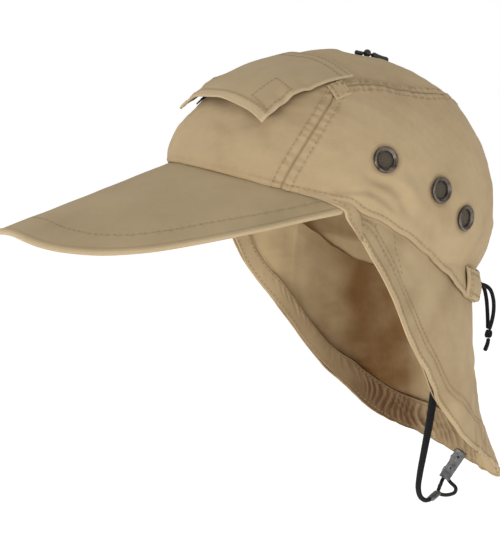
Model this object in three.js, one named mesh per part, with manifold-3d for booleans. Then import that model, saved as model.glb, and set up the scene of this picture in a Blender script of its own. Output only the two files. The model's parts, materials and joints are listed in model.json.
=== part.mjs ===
import * as THREE from 'three';
import { mergeVertices } from 'three/addons/utils/BufferGeometryUtils.js';
import Module from 'manifold-3d';

// A long-peaked cotton hat with a hanging neck cape, worn shape, in millimetres, +Z up.
// The peak points along -Y, the wearer's left is +X, and the origin is where the head's rim
// plane crosses the middle of the head.

const wasm = await Module();
wasm.setup();

// Crown
const HEAD_HALF_WIDTH = 83;
const FRONT_REACH = 103;
const BACK_REACH = 96;
const CROWN_RISE = 80.7;
const RIM_HEIGHT = 3;
const RIM_SLOPE = 0.235;
const SLOPE_LOST_AT_TOP = 0.65;
const CROWN_SPAN = 130;
const PLAN_POWER = { front: 1.75, side: 2.0, back: 1.77 };
const RISE_POWER = { front: 1.42, side: 2.3, back: 2.75 };
const TUCK_SHARE = 0.1;
const TUCK_DEPTH = 29;
const CLOTH = 1.5;
const GAP = 0.3;

// Peak
const PEAK_SLOPE = Math.tan(THREE.MathUtils.degToRad(16));
const PEAK_HEIGHT = 23.5;
const PEAK_ARCH_RADIUS = 97;
const PEAK_TIP = -208;
const PEAK_CORNER_Y = -45;
const PEAK_HALF_WIDTH = 76.8;
const PEAK_TAPER = 0.265;
const PEAK_WIDTH_POWER = 3;
const PEAK_LENGTH_POWER = 4.9;
const PEAK_THICKNESS = 3;
const PEAK_END_ANGLE = 64;
const HEM_DROP_ANGLE = 66;
const HEM_DROP = 49;
const PROBE_DEPTH = 0.5;

// Panel corners, in plan
const FRONT_SEAM_ANGLE = 44;
const YOKE_SIDE_SPACE = 33;
const YOKE_HALF_WIDTH = HEAD_HALF_WIDTH - YOKE_SIDE_SPACE;
const YOKE_Y = -24;
const YOKE_DIP = 8;

// Pocket flap
const FLAP_SIDE_SPACE = 4;
const FLAP_TAPER = 3;
const FLAP_SEAM_LAP = 4;
const FLAP_LENGTH = 57;
const FLAP_BACK_HALF = YOKE_HALF_WIDTH - FLAP_SIDE_SPACE;
const FLAP_FRONT_HALF = FLAP_BACK_HALF - FLAP_TAPER;
const FLAP_BACK_Y = YOKE_Y + FLAP_SEAM_LAP;
const FLAP_FRONT_Y = FLAP_BACK_Y - FLAP_LENGTH;
const FLAP_LIFT = 4.3;
const FLAP_BOW = 3;
const FLAP_CURL = 0.1;
const PATCH_SIDE_SPACE = 10;
const PATCH_FRONT_SPACE = 14;
const PATCH_X = FLAP_FRONT_HALF - PATCH_SIDE_SPACE;
const PATCH_Y = FLAP_FRONT_Y + PATCH_FRONT_SPACE;
const PATCH_SIZE = 15;
const PATCH_THICKNESS = 0.9;
const CORNER_OUTSET = 1.5;
const CORNER_X = YOKE_HALF_WIDTH + CORNER_OUTSET;
const CORNER_Y = YOKE_Y - YOKE_DIP;
const CORNER_SIZE = 9;

// Cape
const CAPE_CLOTH = 1.2;
const RISE_PER_T = 40;
const HEM_SETBACK = 2;
const FOLD_HEIGHT = 1.8;
const FOLD_COUNT = 5;
const CAPE_HALF_WIDTH = 83;
const CAPE_REACH = 121.5;
const CAPE_DROP = 187;
const CAPE_BULGE = 6;
const CASING_CLOTH = 1.0;
const CASING_FRONT_WIDTH = 11;
const CASING_BACK_WIDTH = 22;
const GATHER_HEIGHT = 0.8;
const GATHERS = [8, 6];
const CLIP_ROW = 1.55;

// Drawcord tab
const TAB_ANGLE = 54;
const TAB_HEIGHT = 17;
const TAB_PUFF = 1.2;

// Fittings
const EYELET_RADIUS = 7.5;
const EYELET_BORE = 4.9;
const SCREEN_LAP = 1.3;
const CORD_DIAMETER = 2.4;
const LEASH_DIAMETER = 2.8;
const CRIMP_WIDTH = 5.6;
const CRIMP_FLATNESS = 0.62;
const TOGGLE_X = -2;

const rad = THREE.MathUtils.degToRad;
const V = (x, y, z) => new THREE.Vector3(x, y, z);
const clamp = THREE.MathUtils.clamp;
const mix = THREE.MathUtils.lerp;

// The crown is a rounded egg whose outline powers blend from front to side to back.
const blendPower = (power, phi) => {
  const c = Math.cos(phi);
  return mix(power.side, c > 0 ? power.front : power.back, c * c);
};

const reach = (phi) => (Math.cos(phi) > 0 ? FRONT_REACH : BACK_REACH);

// phi runs from 0 at the front through 90 degrees on the wearer's left to 180 at the back;
// w is millimetres below the widest line when negative, and a share of CROWN_SPAN above it.
function crownPoint(phi, w) {
  const p = blendPower(PLAN_POWER, phi);
  const q = blendPower(RISE_POWER, phi);
  const up = (Math.PI / 2) * Math.pow(clamp(w / CROWN_SPAN, 0, 1), q / 2);
  const down = Math.max(0, -w);
  const ring = Math.pow(Math.max(0, Math.cos(up)), 2 / p);
  const rise = Math.pow(Math.sin(up), 2 / q);
  const tuck = 1 - TUCK_SHARE * Math.min(1, (down / TUCK_DEPTH) ** 2);
  const y = -reach(phi) * Math.cos(phi) * ring;
  const tilt = RIM_SLOPE * y * (1 - SLOPE_LOST_AT_TOP * rise);
  const x = HEAD_HALF_WIDTH * Math.sin(phi) * ring;
  return V(x * tuck, y * tuck, RIM_HEIGHT - tilt + CROWN_RISE * rise - down);
}

function crownAt(x, y) {
  const long = y < 0 ? FRONT_REACH : BACK_REACH;
  const ring = Math.hypot(x / HEAD_HALF_WIDTH, y / long);
  const phi = Math.atan2(x / HEAD_HALF_WIDTH, -y / long);
  const p = blendPower(PLAN_POWER, phi);
  const q = blendPower(RISE_POWER, phi);
  const up = Math.acos(Math.min(1, Math.pow(ring, p / 2)));
  return { phi, w: CROWN_SPAN * Math.pow(up / (Math.PI / 2), 2 / q) };
}

function crownNormal(phi, w) {
  const h = 0.02;
  const top = Math.min(w, CROWN_SPAN - 2);
  const across = crownPoint(phi + h, top).sub(crownPoint(phi - h, top));
  const rising = crownPoint(phi, top + 0.5).sub(crownPoint(phi, top - 0.5));
  return across.cross(rising).normalize();
}

function crownOffset(phi, w, distance) {
  return crownPoint(phi, w).addScaledVector(crownNormal(phi, w), distance);
}

function widthAtHeight(phi, z) {
  let low = -60;
  let high = CROWN_SPAN;
  for (let i = 0; i < 40; i += 1) {
    const middle = (low + high) / 2;
    if (crownPoint(phi, middle).z < z) low = middle;
    else high = middle;
  }
  return (low + high) / 2;
}

// Height of the peak's upper face: a sloping sheet bent over a cylinder.
function peakZ(x, y) {
  const arch = PEAK_ARCH_RADIUS - Math.sqrt(PEAK_ARCH_RADIUS ** 2 - x * x);
  return PEAK_HEIGHT + (y + FRONT_REACH) * PEAK_SLOPE - arch;
}

// Depth of the crown's lower edge below its widest line, as shares of the hem's drop, by angle
// from the front.
const HEM = [
  { phi: 67, depth: 0.184 },
  { phi: 76, depth: 0.251 },
  { phi: 86, depth: 0.382 },
  { phi: 97, depth: 0.537 },
  { phi: 110, depth: 0.718 },
  { phi: 118, depth: 0.857 },
  { phi: 128, depth: 0.955 },
  { phi: 142, depth: 1 },
  { phi: 180, depth: 0.939 },
];

function tableValue(rows, key, value, at) {
  const last = rows.length - 1;
  if (at <= rows[0][key]) return rows[0][value];
  for (let i = 0; i < last; i += 1) {
    if (at <= rows[i + 1][key]) {
      const t = (at - rows[i][key]) / (rows[i + 1][key] - rows[i][key]);
      return mix(rows[i][value], rows[i + 1][value], t * t * (3 - 2 * t) * 0.5 + t * 0.5);
    }
  }
  return rows[last][value];
}

function hemDepth(phi) {
  const degrees = Math.abs(THREE.MathUtils.radToDeg(phi));
  const turn = Math.min(degrees, 360 - degrees);
  if (turn > HEM_DROP_ANGLE + 0.5) return HEM_DROP * tableValue(HEM, 'phi', 'depth', turn);
  const inner = crownOffset(phi, -PROBE_DEPTH, -CLOTH);
  return PROBE_DEPTH + inner.z - peakZ(inner.x, inner.y) - 1.3 * GAP;
}

// A closed solid from corners and faces: equal corners are joined and it is turned outward.
function closedMesh(corners, faces) {
  const kept = [];
  const index = new Map();
  const remap = corners.map((p) => {
    const key = [p.x, p.y, p.z].map((c) => Math.round(c * 2000)).join();
    if (!index.has(key)) {
      index.set(key, kept.length);
      kept.push(p);
    }
    return index.get(key);
  });
  const triangles = faces
    .map((face) => face.map((i) => remap[i]))
    .filter(([a, b, c]) => a !== b && b !== c && a !== c);
  let volume = 0;
  for (const [a, b, c] of triangles) {
    volume += kept[a].dot(V(0, 0, 0).crossVectors(kept[b], kept[c]));
  }
  const flat = volume < 0 ? triangles.map(([a, b, c]) => [a, c, b]) : triangles;
  const geometry = new THREE.BufferGeometry().setFromPoints(kept);
  geometry.setIndex(flat.flat());
  return geometry;
}

// A wall between two grids of points that share rows and columns.
function wall(outer, inner) {
  const rows = outer.length;
  const columns = outer[0].length;
  const corners = [...outer.flat(), ...inner.flat()];
  const far = rows * columns;
  const at = (i, j) => i * columns + j;
  const faces = [];
  const quad = (a, b, c, d) => faces.push([a, b, c], [a, c, d]);
  for (let i = 0; i < rows - 1; i += 1) {
    for (let j = 0; j < columns - 1; j += 1) {
      quad(at(i, j), at(i, j + 1), at(i + 1, j + 1), at(i + 1, j));
      quad(far + at(i, j), far + at(i + 1, j), far + at(i + 1, j + 1), far + at(i, j + 1));
    }
    quad(at(i, 0), at(i + 1, 0), far + at(i + 1, 0), far + at(i, 0));
    const end = at(i, columns - 1);
    const next = at(i + 1, columns - 1);
    quad(end, far + end, far + next, next);
  }
  for (let j = 0; j < columns - 1; j += 1) {
    quad(at(0, j), far + at(0, j), far + at(0, j + 1), at(0, j + 1));
    quad(at(rows - 1, j), at(rows - 1, j + 1), far + at(rows - 1, j + 1), far + at(rows - 1, j));
  }
  return closedMesh(corners, faces);
}

function steps(count, from = 0, to = 1) {
  return Array.from({ length: count + 1 }, (_, i) => mix(from, to, i / count));
}

// A crown piece: place(u, v) gives { phi, w }; the cloth hangs inward from outset.
function crownPiece(place, us, vs, outset = 0, thickness = CLOTH) {
  const grid = (distance) => vs.map((v) => us.map((u) => {
    const { phi, w } = place(u, v);
    const lift = typeof outset === 'function' ? outset(u, v) : outset;
    return crownOffset(phi, w, lift + distance);
  }));
  return wall(grid(0), grid(-thickness));
}

function toManifold(geometry) {
  const bare = geometry.clone();
  bare.deleteAttribute('normal');
  bare.deleteAttribute('uv');
  const merged = mergeVertices(bare, 1e-4);
  const mesh = new wasm.Mesh({
    numProp: 3,
    vertProperties: new Float32Array(merged.attributes.position.array),
    triVerts: new Uint32Array(merged.index.array),
  });
  return new wasm.Manifold(mesh);
}

function fromManifold(solid) {
  const mesh = solid.getMesh();
  const geometry = new THREE.BufferGeometry();
  geometry.setAttribute('position', new THREE.Float32BufferAttribute(mesh.vertProperties, 3));
  geometry.setIndex(Array.from(mesh.triVerts));
  return geometry;
}

function cut(geometry, tools) {
  return fromManifold(tools.reduce((solid, tool) => solid.subtract(toManifold(tool)), toManifold(geometry)));
}

function join(geometries) {
  return fromManifold(geometries.map(toManifold).reduce((solid, next) => solid.add(next)));
}

const hat = new THREE.Group();

const LOOKS = {
  khaki: { color: 0xb8a07a, roughness: 0.9, metalness: 0 },
  khaki_dark: { color: 0xa18c68, roughness: 0.9, metalness: 0 },
  black: { color: 0x1c1c1e, roughness: 0.7, metalness: 0 },
  gunmetal: { color: 0x5b5043, roughness: 0.4, metalness: 0.8 },
  mesh: { color: 0x41392d, roughness: 0.85, metalness: 0 },
  steel: { color: 0x8e8e8e, roughness: 0.35, metalness: 0.9 },
};

function add(name, geometry, look) {
  const mesh = new THREE.Mesh(geometry, new THREE.MeshStandardMaterial(LOOKS[look]));
  mesh.name = name;
  hat.add(mesh);
}

// Places on the crown's seams.
const mixPlace = (a, b, v) => ({ phi: mix(a.phi, b.phi, v), w: mix(a.w, b.w, v) });
const hemPlace = (phi) => ({ phi, w: -hemDepth(phi) });
const yokePlace = (u) => crownAt(YOKE_HALF_WIDTH * u, YOKE_Y - YOKE_DIP * u * u);

// The top panel's rim behind the yoke, in plan: from the centre back to the front corner.
const TOP_RIM = [
  { across: 0, along: 0.76 },
  { across: 0.2, along: 0.725 },
  { across: 0.36, along: 0.635 },
  { across: 0.495, along: 0.484 },
  { across: 0.59, along: 0.344 },
  { across: 0.65, along: 0.177 },
  { across: 0.655, along: 0.031 },
  { across: 0.63, along: -0.146 },
  { across: YOKE_HALF_WIDTH / HEAD_HALF_WIDTH, along: (YOKE_Y - YOKE_DIP) / BACK_REACH },
];
const topRim = new THREE.CatmullRomCurve3(TOP_RIM.map((r) => (
  V(r.across * HEAD_HALF_WIDTH, r.along * BACK_REACH, 0))));

// Seams keep a small gap: each panel stops short of the shared line by half of it.
const FRONT_SHRINK = GAP / 2 / 55;
const SIDE_SHRINK = GAP / 2 / 180;
const RISE_SHRINK = GAP / 2 / 85;

add('front_panel', crownPiece(
  (u, v) => mixPlace(hemPlace(rad(FRONT_SEAM_ANGLE) * u), yokePlace(u), v),
  steps(16, -1 + FRONT_SHRINK, 1 - FRONT_SHRINK),
  steps(7, 0, 1 - RISE_SHRINK),
), 'khaki');

const PEAK_SHARE = (HEM_DROP_ANGLE - FRONT_SEAM_ANGLE) / (180 - FRONT_SEAM_ANGLE);
const sideColumns = [
  ...steps(4, SIDE_SHRINK, PEAK_SHARE),
  ...steps(16, PEAK_SHARE, 1 - SIDE_SHRINK).slice(1),
];
const rimColumns = sideColumns.map((u) => 1 - u).reverse();
const topColumns = [...rimColumns.map((u) => -u).reverse(), ...rimColumns];
const TOP_CENTRE = 20;
const TOP_SHRINK = 1 - GAP / 45;

const topGrid = (distance) => steps(4).map((v) => topColumns.map((u) => {
  const rim = topRim.getPoint(Math.abs(u));
  const x = mix(YOKE_HALF_WIDTH * u, Math.sign(u) * rim.x, v) * TOP_SHRINK;
  const y = mix(YOKE_Y - YOKE_DIP * u * u, rim.y, v);
  const { phi, w } = crownAt(x, mix(TOP_CENTRE, y, TOP_SHRINK));
  return crownOffset(phi, w, distance);
}));
add('top_panel', wall(topGrid(0), topGrid(-CLOTH)), 'khaki');

const sidePlace = (sign) => (u, v) => {
  const foot = hemPlace(mix(rad(FRONT_SEAM_ANGLE), Math.PI, u));
  const rim = topRim.getPoint(1 - u);
  const head = crownAt(Math.max(rim.x, 1e-6), rim.y);
  const place = mixPlace(foot, head, v);
  return { phi: sign * place.phi, w: place.w };
};

// Where the eyelets sit: angle from the front, and height as a share of the crown's rise.
const EYELETS = [
  { phi: 79, height: 0.359 },
  { phi: 100.5, height: 0.124 },
  { phi: 113.5, height: -0.099 },
];

function turnTo(geometry, point, axis) {
  const turn = new THREE.Quaternion().setFromUnitVectors(V(0, 1, 0), axis);
  return geometry.applyQuaternion(turn).translate(point.x, point.y, point.z);
}

function eyeletSite(row, sign) {
  const phi = sign * rad(row.phi);
  const w = widthAtHeight(Math.abs(phi), row.height * CROWN_RISE);
  return { point: crownPoint(phi, w), axis: crownNormal(phi, w) };
}

const EYELET_PROFILE = [
  [EYELET_BORE, -2.3],
  [EYELET_BORE + 0.7, -2.3],
  [EYELET_BORE + 0.7, 0.05],
  [EYELET_RADIUS, 0.05],
  [EYELET_RADIUS, 0.65],
  [EYELET_RADIUS - 1.2, 1.3],
  [EYELET_BORE + 0.5, 0.95],
  [EYELET_BORE, 0.3],
  [EYELET_BORE, -2.3],
].map(([r, h]) => new THREE.Vector2(r, h));

for (const [side, sign] of [['left', 1], ['right', -1]]) {
  const panel = crownPiece(
    sidePlace(sign),
    sideColumns,
    steps(7, 0, 1 - RISE_SHRINK),
  );
  const sites = EYELETS.map((row) => eyeletSite(row, sign));
  const drills = sites.map(({ point, axis }) => (
    turnTo(new THREE.CylinderGeometry(EYELET_BORE + 1, EYELET_BORE + 1, 12, 14), point, axis)));
  add(`side_panel_${side}`, cut(panel, drills), 'khaki');
  sites.forEach(({ point, axis }, i) => {
    const ring = new THREE.LatheGeometry(EYELET_PROFILE, 12);
    const lap = EYELET_BORE + SCREEN_LAP;
    const screen = new THREE.CylinderGeometry(lap, lap, 0.4, 10).translate(0, -2.85, 0);
    add(`eyelet_${side}_${i + 1}`, turnTo(ring, point, axis), 'gunmetal');
    add(`screen_${side}_${i + 1}`, turnTo(screen, point, axis), 'mesh');
  });
}

// The peak runs from a curve inside the crown's lower edge out to its outline, which narrows
// evenly forward and ends in a broad rounded tip.
const peakGrid = (drop) => steps(8).map((v) => steps(24, -1, 1).map((u) => {
  const turn = rad(PEAK_END_ANGLE) * u;
  const tucked = 1 - CLOTH / HEAD_HALF_WIDTH;
  const rear = V(HEAD_HALF_WIDTH * tucked * Math.sin(turn), -FRONT_REACH * tucked * Math.cos(turn), 0);
  const a = (Math.PI / 2) * u;
  const along = Math.abs(Math.cos(a)) ** (2 / PEAK_LENGTH_POWER);
  const across = Math.sign(u) * Math.abs(Math.sin(a)) ** (2 / PEAK_WIDTH_POWER);
  const front = V(
    PEAK_HALF_WIDTH * across * (1 - PEAK_TAPER * along),
    mix(PEAK_CORNER_Y, PEAK_TIP, along),
    0,
  );
  const p = rear.lerp(front, v);
  const slopeX = (peakZ(p.x + 0.1, p.y) - peakZ(p.x - 0.1, p.y)) / 0.2;
  const normal = V(-slopeX, -PEAK_SLOPE, 1).normalize();
  return V(p.x, p.y, peakZ(p.x, p.y)).addScaledVector(normal, -drop);
}));
add('peak', wall(peakGrid(0), peakGrid(PEAK_THICKNESS)), 'khaki_dark');


// A patch of cloth that follows the crown, over a plan outline place(u, v).
function crownPatch(outline, us, vs, lift, thickness) {
  const grid = (distance) => vs.map((v) => us.map((u) => {
    const plan = outline(u, v);
    const { phi, w } = crownAt(plan.x, plan.y);
    return crownOffset(phi, w, lift(u, v) + distance);
  }));
  return wall(grid(thickness), grid(0));
}

const ease = (t) => t * t * (3 - 2 * t);
const flapPlan = (u, v) => V(
  mix(FLAP_BACK_HALF, FLAP_FRONT_HALF, v) * u,
  mix(FLAP_BACK_Y - FLAP_BOW * (1 - u * u), FLAP_FRONT_Y - 1 + FLAP_BOW * u * u, v),
  0,
);
// The free edge stands off the crown, the right corner most.
const flapLift = (u, v) => GAP + FLAP_LIFT * ease(v) * (1 + FLAP_CURL * Math.max(0, -u) ** 3);
add('pocket_flap', crownPatch(flapPlan, steps(12, -1, 1), steps(6), flapLift, CLOTH), 'khaki_dark');

for (const [side, sign] of [['left', 1], ['right', -1]]) {
  const arm = PATCH_SIZE / 2;
  const square = (u, v) => V(sign * PATCH_X + arm * u, PATCH_Y + arm * v, 0);
  const under = (u, v) => {
    const plan = square(u, v);
    const along = (FLAP_BACK_Y - plan.y) / (FLAP_BACK_Y - FLAP_FRONT_Y);
    const across = plan.x / mix(FLAP_BACK_HALF, FLAP_FRONT_HALF, along);
    return flapLift(across, along - 0.03) - GAP - PATCH_THICKNESS;
  };
  const few = steps(3, -1, 1);
  add(`panel_patch_${side}`, crownPatch(square, few, few, () => GAP, PATCH_THICKNESS), 'black');
  add(`flap_patch_${side}`, crownPatch(square, few, few, under, PATCH_THICKNESS), 'black');
  const half = CORNER_SIZE / 2;
  const corner = (u, v) => V(sign * (CORNER_X + half * u), CORNER_Y + half * v, 0);
  add(`pocket_corner_${side}`, crownPatch(corner, few, few, () => GAP, CLOTH), 'khaki');
}

// One row per section from the centre back round to the front end: where it leaves the hem,
// and where its free edge hangs, as shares of the cape's half width, reach and drop.
const CAPE = [
  { phi: 180, across: 0, along: 1, down: 1, bulge: -1.6 },
  { phi: 172, across: 0.072, along: 0.979, down: 0.992, bulge: -1.5 },
  { phi: 158, across: 0.361, along: 0.749, down: 0.882, bulge: -0.6 },
  { phi: 142, across: 0.59, along: 0.568, down: 0.813, bulge: 0.2 },
  { phi: 130, across: 0.65, along: 0.453, down: 0.759, bulge: 0.7 },
  { phi: 121, across: 0.663, along: 0.362, down: 0.706, bulge: 1 },
  { phi: 112, across: 0.723, along: 0.247, down: 0.626, bulge: 1 },
  { phi: 104, across: 0.843, along: 0.14, down: 0.519, bulge: 0.9 },
  { phi: 97, across: 0.904, along: 0.033, down: 0.417, bulge: 0.7 },
  { phi: 87, across: 0.988, along: -0.099, down: 0.289, bulge: 0.5 },
  { phi: 76, across: 0.952, along: -0.214, down: 0.15, bulge: 0.2 },
  { phi: 69, across: 0.934, along: -0.28, down: 0.075, bulge: 0 },
];
const LAST = CAPE.length - 1;
const capeEdge = new THREE.CatmullRomCurve3(CAPE.map((r) => (
  V(r.across * CAPE_HALF_WIDTH, r.along * CAPE_REACH, -r.down * CAPE_DROP))));
const capeHem = new THREE.CatmullRomCurve3(CAPE.map((r) => V(r.phi, r.bulge, 0)), false, 'catmullrom', 0.5);

// row runs 0 to LAST from the centre back to the front end, negative on the wearer's right;
// t runs 0 just below the crown's hem to 1 at the free edge, and below 0 up inside the crown.
function capePoint(row, t) {
  const sign = row < 0 ? -1 : 1;
  const at = clamp(Math.abs(row) / LAST, 0, 1);
  const hem = capeHem.getPoint(at);
  const phi = rad(Math.min(180, hem.x));
  const top = crownOffset(phi, -hemDepth(phi), -CLOTH - 1.6 * GAP);
  top.z = crownPoint(phi, -hemDepth(phi)).z - HEM_SETBACK;
  const edge = capeEdge.getPoint(at);
  const out = V(Math.sin(phi), -Math.cos(phi), 0);
  const middle = top.clone().add(edge).multiplyScalar(0.5).addScaledVector(out, CAPE_BULGE * hem.y);
  const s = Math.max(0, t);
  const p = top.clone().multiplyScalar((1 - s) ** 2)
    .addScaledVector(middle, 2 * s * (1 - s))
    .addScaledVector(edge, s * s);
  const fold = FOLD_HEIGHT * s * Math.sin(FOLD_COUNT * Math.PI * at) * Math.min(1, 6 * at);
  p.addScaledVector(out, fold);
  p.z -= Math.min(0, t) * RISE_PER_T;
  p.x = Math.max(p.x, 0) * sign;
  return p;
}

function capeNormal(row, t) {
  const h = 0.02;
  const safe = Math.max(Math.abs(row), h) * (row < 0 ? -1 : 1);
  const r0 = clamp(safe - h, -LAST, LAST);
  const r1 = clamp(safe + h, -LAST, LAST);
  const along = capePoint(r1, t).sub(capePoint(r0, t));
  if (Math.abs(row) < h) along.set(1, 0, 0);
  const falling = capePoint(row, Math.min(1, t + h)).sub(capePoint(row, Math.max(-0.25, t - h)));
  const normal = falling.cross(along).normalize();
  const out = capePoint(row, t).setZ(0);
  return normal.dot(out) < 0 ? normal.negate() : normal;
}

// Gathers: the free edge is drawn up in small ripples across the back.
function ripple(row, t) {
  const r = Math.abs(row);
  const count = r < 2 ? (r - 1) * GATHERS[0] : GATHERS[0] + (r - 2) * GATHERS[1];
  const across = clamp((r - 0.9) * 4, 0, 1) * clamp((3.3 - r) * 2, 0, 1);
  const clear = row < 0 ? clamp((Math.abs(r - CLIP_ROW) - 0.12) * 6, 0, 1) : 1;
  const lower = ease(clamp((t - 0.7) / 0.2, 0, 1));
  return GATHER_HEIGHT * across * clear * lower * Math.cos(Math.PI * count);
}

function capeOffset(row, t, distance) {
  return capePoint(row, t).addScaledVector(capeNormal(row, t), distance + ripple(row, t));
}

const CELLS = [1, GATHERS[0], GATHERS[1], 2, 2, 2, 2, 2, 2, 2, 1];
const halfRows = CELLS.flatMap((count, i) => steps(count, i, i + 1).slice(1));
const capeColumns = [...halfRows.map((r) => -r).reverse(), 0, ...halfRows];
const capeRows = [-0.2, 0, 0.12, 0.3, 0.5, 0.68, 0.8, 0.9, 1];
const capeGrid = (distance) => capeRows.map((t) => capeColumns.map((row) => capeOffset(row, t, distance)));
add('neck_cape', wall(capeGrid(0), capeGrid(-CAPE_CLOTH)), 'khaki');

// The casing is folded up inside the free edge; its width is measured square to that edge.
function casingStart(row) {
  const at = Math.abs(row) / LAST;
  const width = mix(CASING_BACK_WIDTH, CASING_FRONT_WIDTH, ease(clamp((at - 0.1) / 0.5, 0, 1)));
  const inner = clamp(Math.abs(row), 0.05, LAST - 0.05);
  const edge = capePoint(inner + 0.05, 1).sub(capePoint(inner - 0.05, 1)).normalize();
  const ruling = capePoint(inner, 1).sub(capePoint(inner, 0));
  const square = ruling.clone().cross(edge).length();
  return 1 - Math.min(0.9, width / Math.max(square, 1));
}
const casingGrid = (distance) => steps(2).map((v) => capeColumns.map((row) => (
  capeOffset(row, mix(casingStart(row), 0.99, v), distance))));
const CASING_FACE = -CAPE_CLOTH - 1.6 * GAP;
add('cape_casing', wall(casingGrid(CASING_FACE), casingGrid(CASING_FACE - CASING_CLOTH)), 'khaki');

// The drawcord's tab lies across the back hem.
add('cord_tab', crownPiece(
  (u, v) => {
    const phi = Math.PI + rad(TAB_ANGLE) * u;
    return { phi, w: -hemDepth(phi) + 0.5 + TAB_HEIGHT * v };
  },
  steps(14, -1, 1),
  steps(3),
  (u, v) => 1.6 * GAP + CLOTH + TAB_PUFF * Math.sin(Math.PI * v),
), 'khaki');

// Points in millimetres, chosen along each cord's middle line.
const DRAWCORD_A = [
  [29.4, 83.4, -57.2], [30.6, 86.1, -57.6], [32.0, 89.4, -60.2], [32.8, 91.4, -66.0],
  [32.4, 92.2, -73.0], [30.6, 92.4, -80.0], [28.5, 92.4, -85.0],
];
const DRAWCORD_B = [
  [20.3, 86.8, -57.2], [20.9, 89.6, -57.8], [21.5, 92.6, -61.0], [22.0, 94.2, -67.0],
  [22.8, 94.6, -74.0], [24.0, 94.2, -80.5], [25.3, 93.4, -85.0],
];
const DRAWCORD_KNOT = [26.8, 92.8, -88.7];
const DRAWCORD_TAIL = [[26.8, 92.8, -92.3], [26.5, 92.4, -95.0], [25.6, 91.6, -98.4]];
const LEASH = [
  [-3.0, 81.2, -74.4], [-4.0, 80.8, -90.0], [-6.0, 79.6, -110.0], [-8.0, 78.0, -130.0],
  [-9.5, 75.8, -150.0], [-10.3, 72.6, -168.0], [-10.5, 69.8, -182.0], [-10.5, 68.9, -190.5],
  [-10.6, 70.6, -196.0], [-10.8, 74.4, -198.9], [-11.3, 78.3, -199.1],
];
const CRIMP_ENDS = [[-11.5, 79.0, -198.9], [-14.2, 86.5, -196.5]];
const LEASH_LOOP = [
  [-14.5, 87.1, -194.8], [-17.0, 89.6, -194.4], [-21.3, 92.9, -194.6], [-25.8, 96.8, -195.6],
  [-28.5, 100.2, -193.4], [-26.9, 102.2, -189.1], [-26.2, 103.7, -186.4], [-27.8, 105.3, -185.9],
  [-30.1, 105.6, -187.9], [-31.6, 105.4, -191.8], [-30.2, 107.2, -195.8], [-26.0, 108.6, -198.8],
  [-21.0, 104.6, -200.4], [-17.0, 96.2, -200.0], [-14.9, 90.0, -198.4], [-14.5, 87.9, -197.4],
];

function oval(diameter, sides, squash = 1) {
  return new THREE.Shape(steps(sides).slice(1).map((share) => {
    const angle = 2 * Math.PI * share;
    return new THREE.Vector2(Math.cos(angle), squash * Math.sin(angle)).multiplyScalar(diameter / 2);
  }));
}

function cord(points, diameter, cells) {
  const path = new THREE.CatmullRomCurve3(points.map((p) => V(...p)));
  const along = { steps: cells, bevelEnabled: false, extrudePath: path };
  return new THREE.ExtrudeGeometry(oval(diameter, 8), along);
}

add('drawcord_a', cord(DRAWCORD_A, CORD_DIAMETER, 9), 'black');
add('drawcord_b', cord(DRAWCORD_B, CORD_DIAMETER, 9), 'black');
add('drawcord_knot', new THREE.SphereGeometry(3.1, 10, 6).translate(...DRAWCORD_KNOT), 'black');
add('drawcord_tail', cord(DRAWCORD_TAIL, CORD_DIAMETER, 3), 'black');

const LEASH_TAB = { x: -3, width: 10, thickness: 2.4, height: 13, setback: 0.73 };
const nape = capeOffset(0, 0, -CAPE_CLOTH);
add('leash_tab', new THREE.BoxGeometry(LEASH_TAB.width, LEASH_TAB.thickness, LEASH_TAB.height)
  .translate(LEASH_TAB.x, nape.y - LEASH_TAB.setback - LEASH_TAB.thickness / 2, nape.z), 'khaki');
add('leash_cord', cord(LEASH, LEASH_DIAMETER, 23), 'black');
const crimpPath = new THREE.LineCurve3(V(...CRIMP_ENDS[0]), V(...CRIMP_ENDS[1]));
add('leash_crimp', new THREE.ExtrudeGeometry(
  oval(CRIMP_WIDTH, 12, CRIMP_FLATNESS),
  { steps: 1, bevelEnabled: false, extrudePath: crimpPath },
), 'steel');
add('leash_loop', cord(LEASH_LOOP, CORD_DIAMETER, 24), 'black');

// The spring clip on the cape's edge has its own frame: l runs down square to the free edge,
// w along that edge and t out of the cloth.
const clipRow = -CLIP_ROW;
const clipPoint = capePoint(clipRow, 1);
const edgeLine = capePoint(clipRow - 0.1, 1).sub(capePoint(clipRow + 0.1, 1)).normalize();
const fall = clipPoint.clone().sub(capePoint(clipRow, 0.9));
const clipDown = fall.addScaledVector(edgeLine, -fall.dot(edgeLine)).normalize();
const clipNormal = clipDown.clone().cross(edgeLine).normalize();
const clipOut = clipNormal.dot(clipPoint.clone().setZ(0)) < 0 ? clipNormal.negate() : clipNormal;
const clipWide = clipOut.clone().cross(clipDown);
const clipFrame = new THREE.Matrix4().makeBasis(clipDown, clipWide, clipOut).setPosition(clipPoint);

const PIN = { l: 4.5, t: 0.4, radius: 0.7, hole: 1.0, half: 4.0 };
const BAR = { l: 16, t: 1.2, radius: 0.7 };
const INSIDE = -CAPE_CLOTH - CASING_CLOTH - 3.5 * GAP;
const PLATE = { top: -4.5, bottom: 19, half: 3.5, face: INSIDE, sheet: 0.8 };
const JAW = { half: 2.6, sheet: 0.8, ear: 0.6 };
const PLATE_EAR = 0.6;

const box = (l0, l1, w0, w1, t0, t1) => new THREE.BoxGeometry(l1 - l0, w1 - w0, t1 - t0)
  .translate((l0 + l1) / 2, (w0 + w1) / 2, (t0 + t1) / 2);
const rod = (radius, half, l, t, sides = 12) => new THREE.CylinderGeometry(radius, radius, 2 * half, sides)
  .translate(l, 0, t);
const plateInner = PLATE.face - PLATE.sheet;

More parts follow.
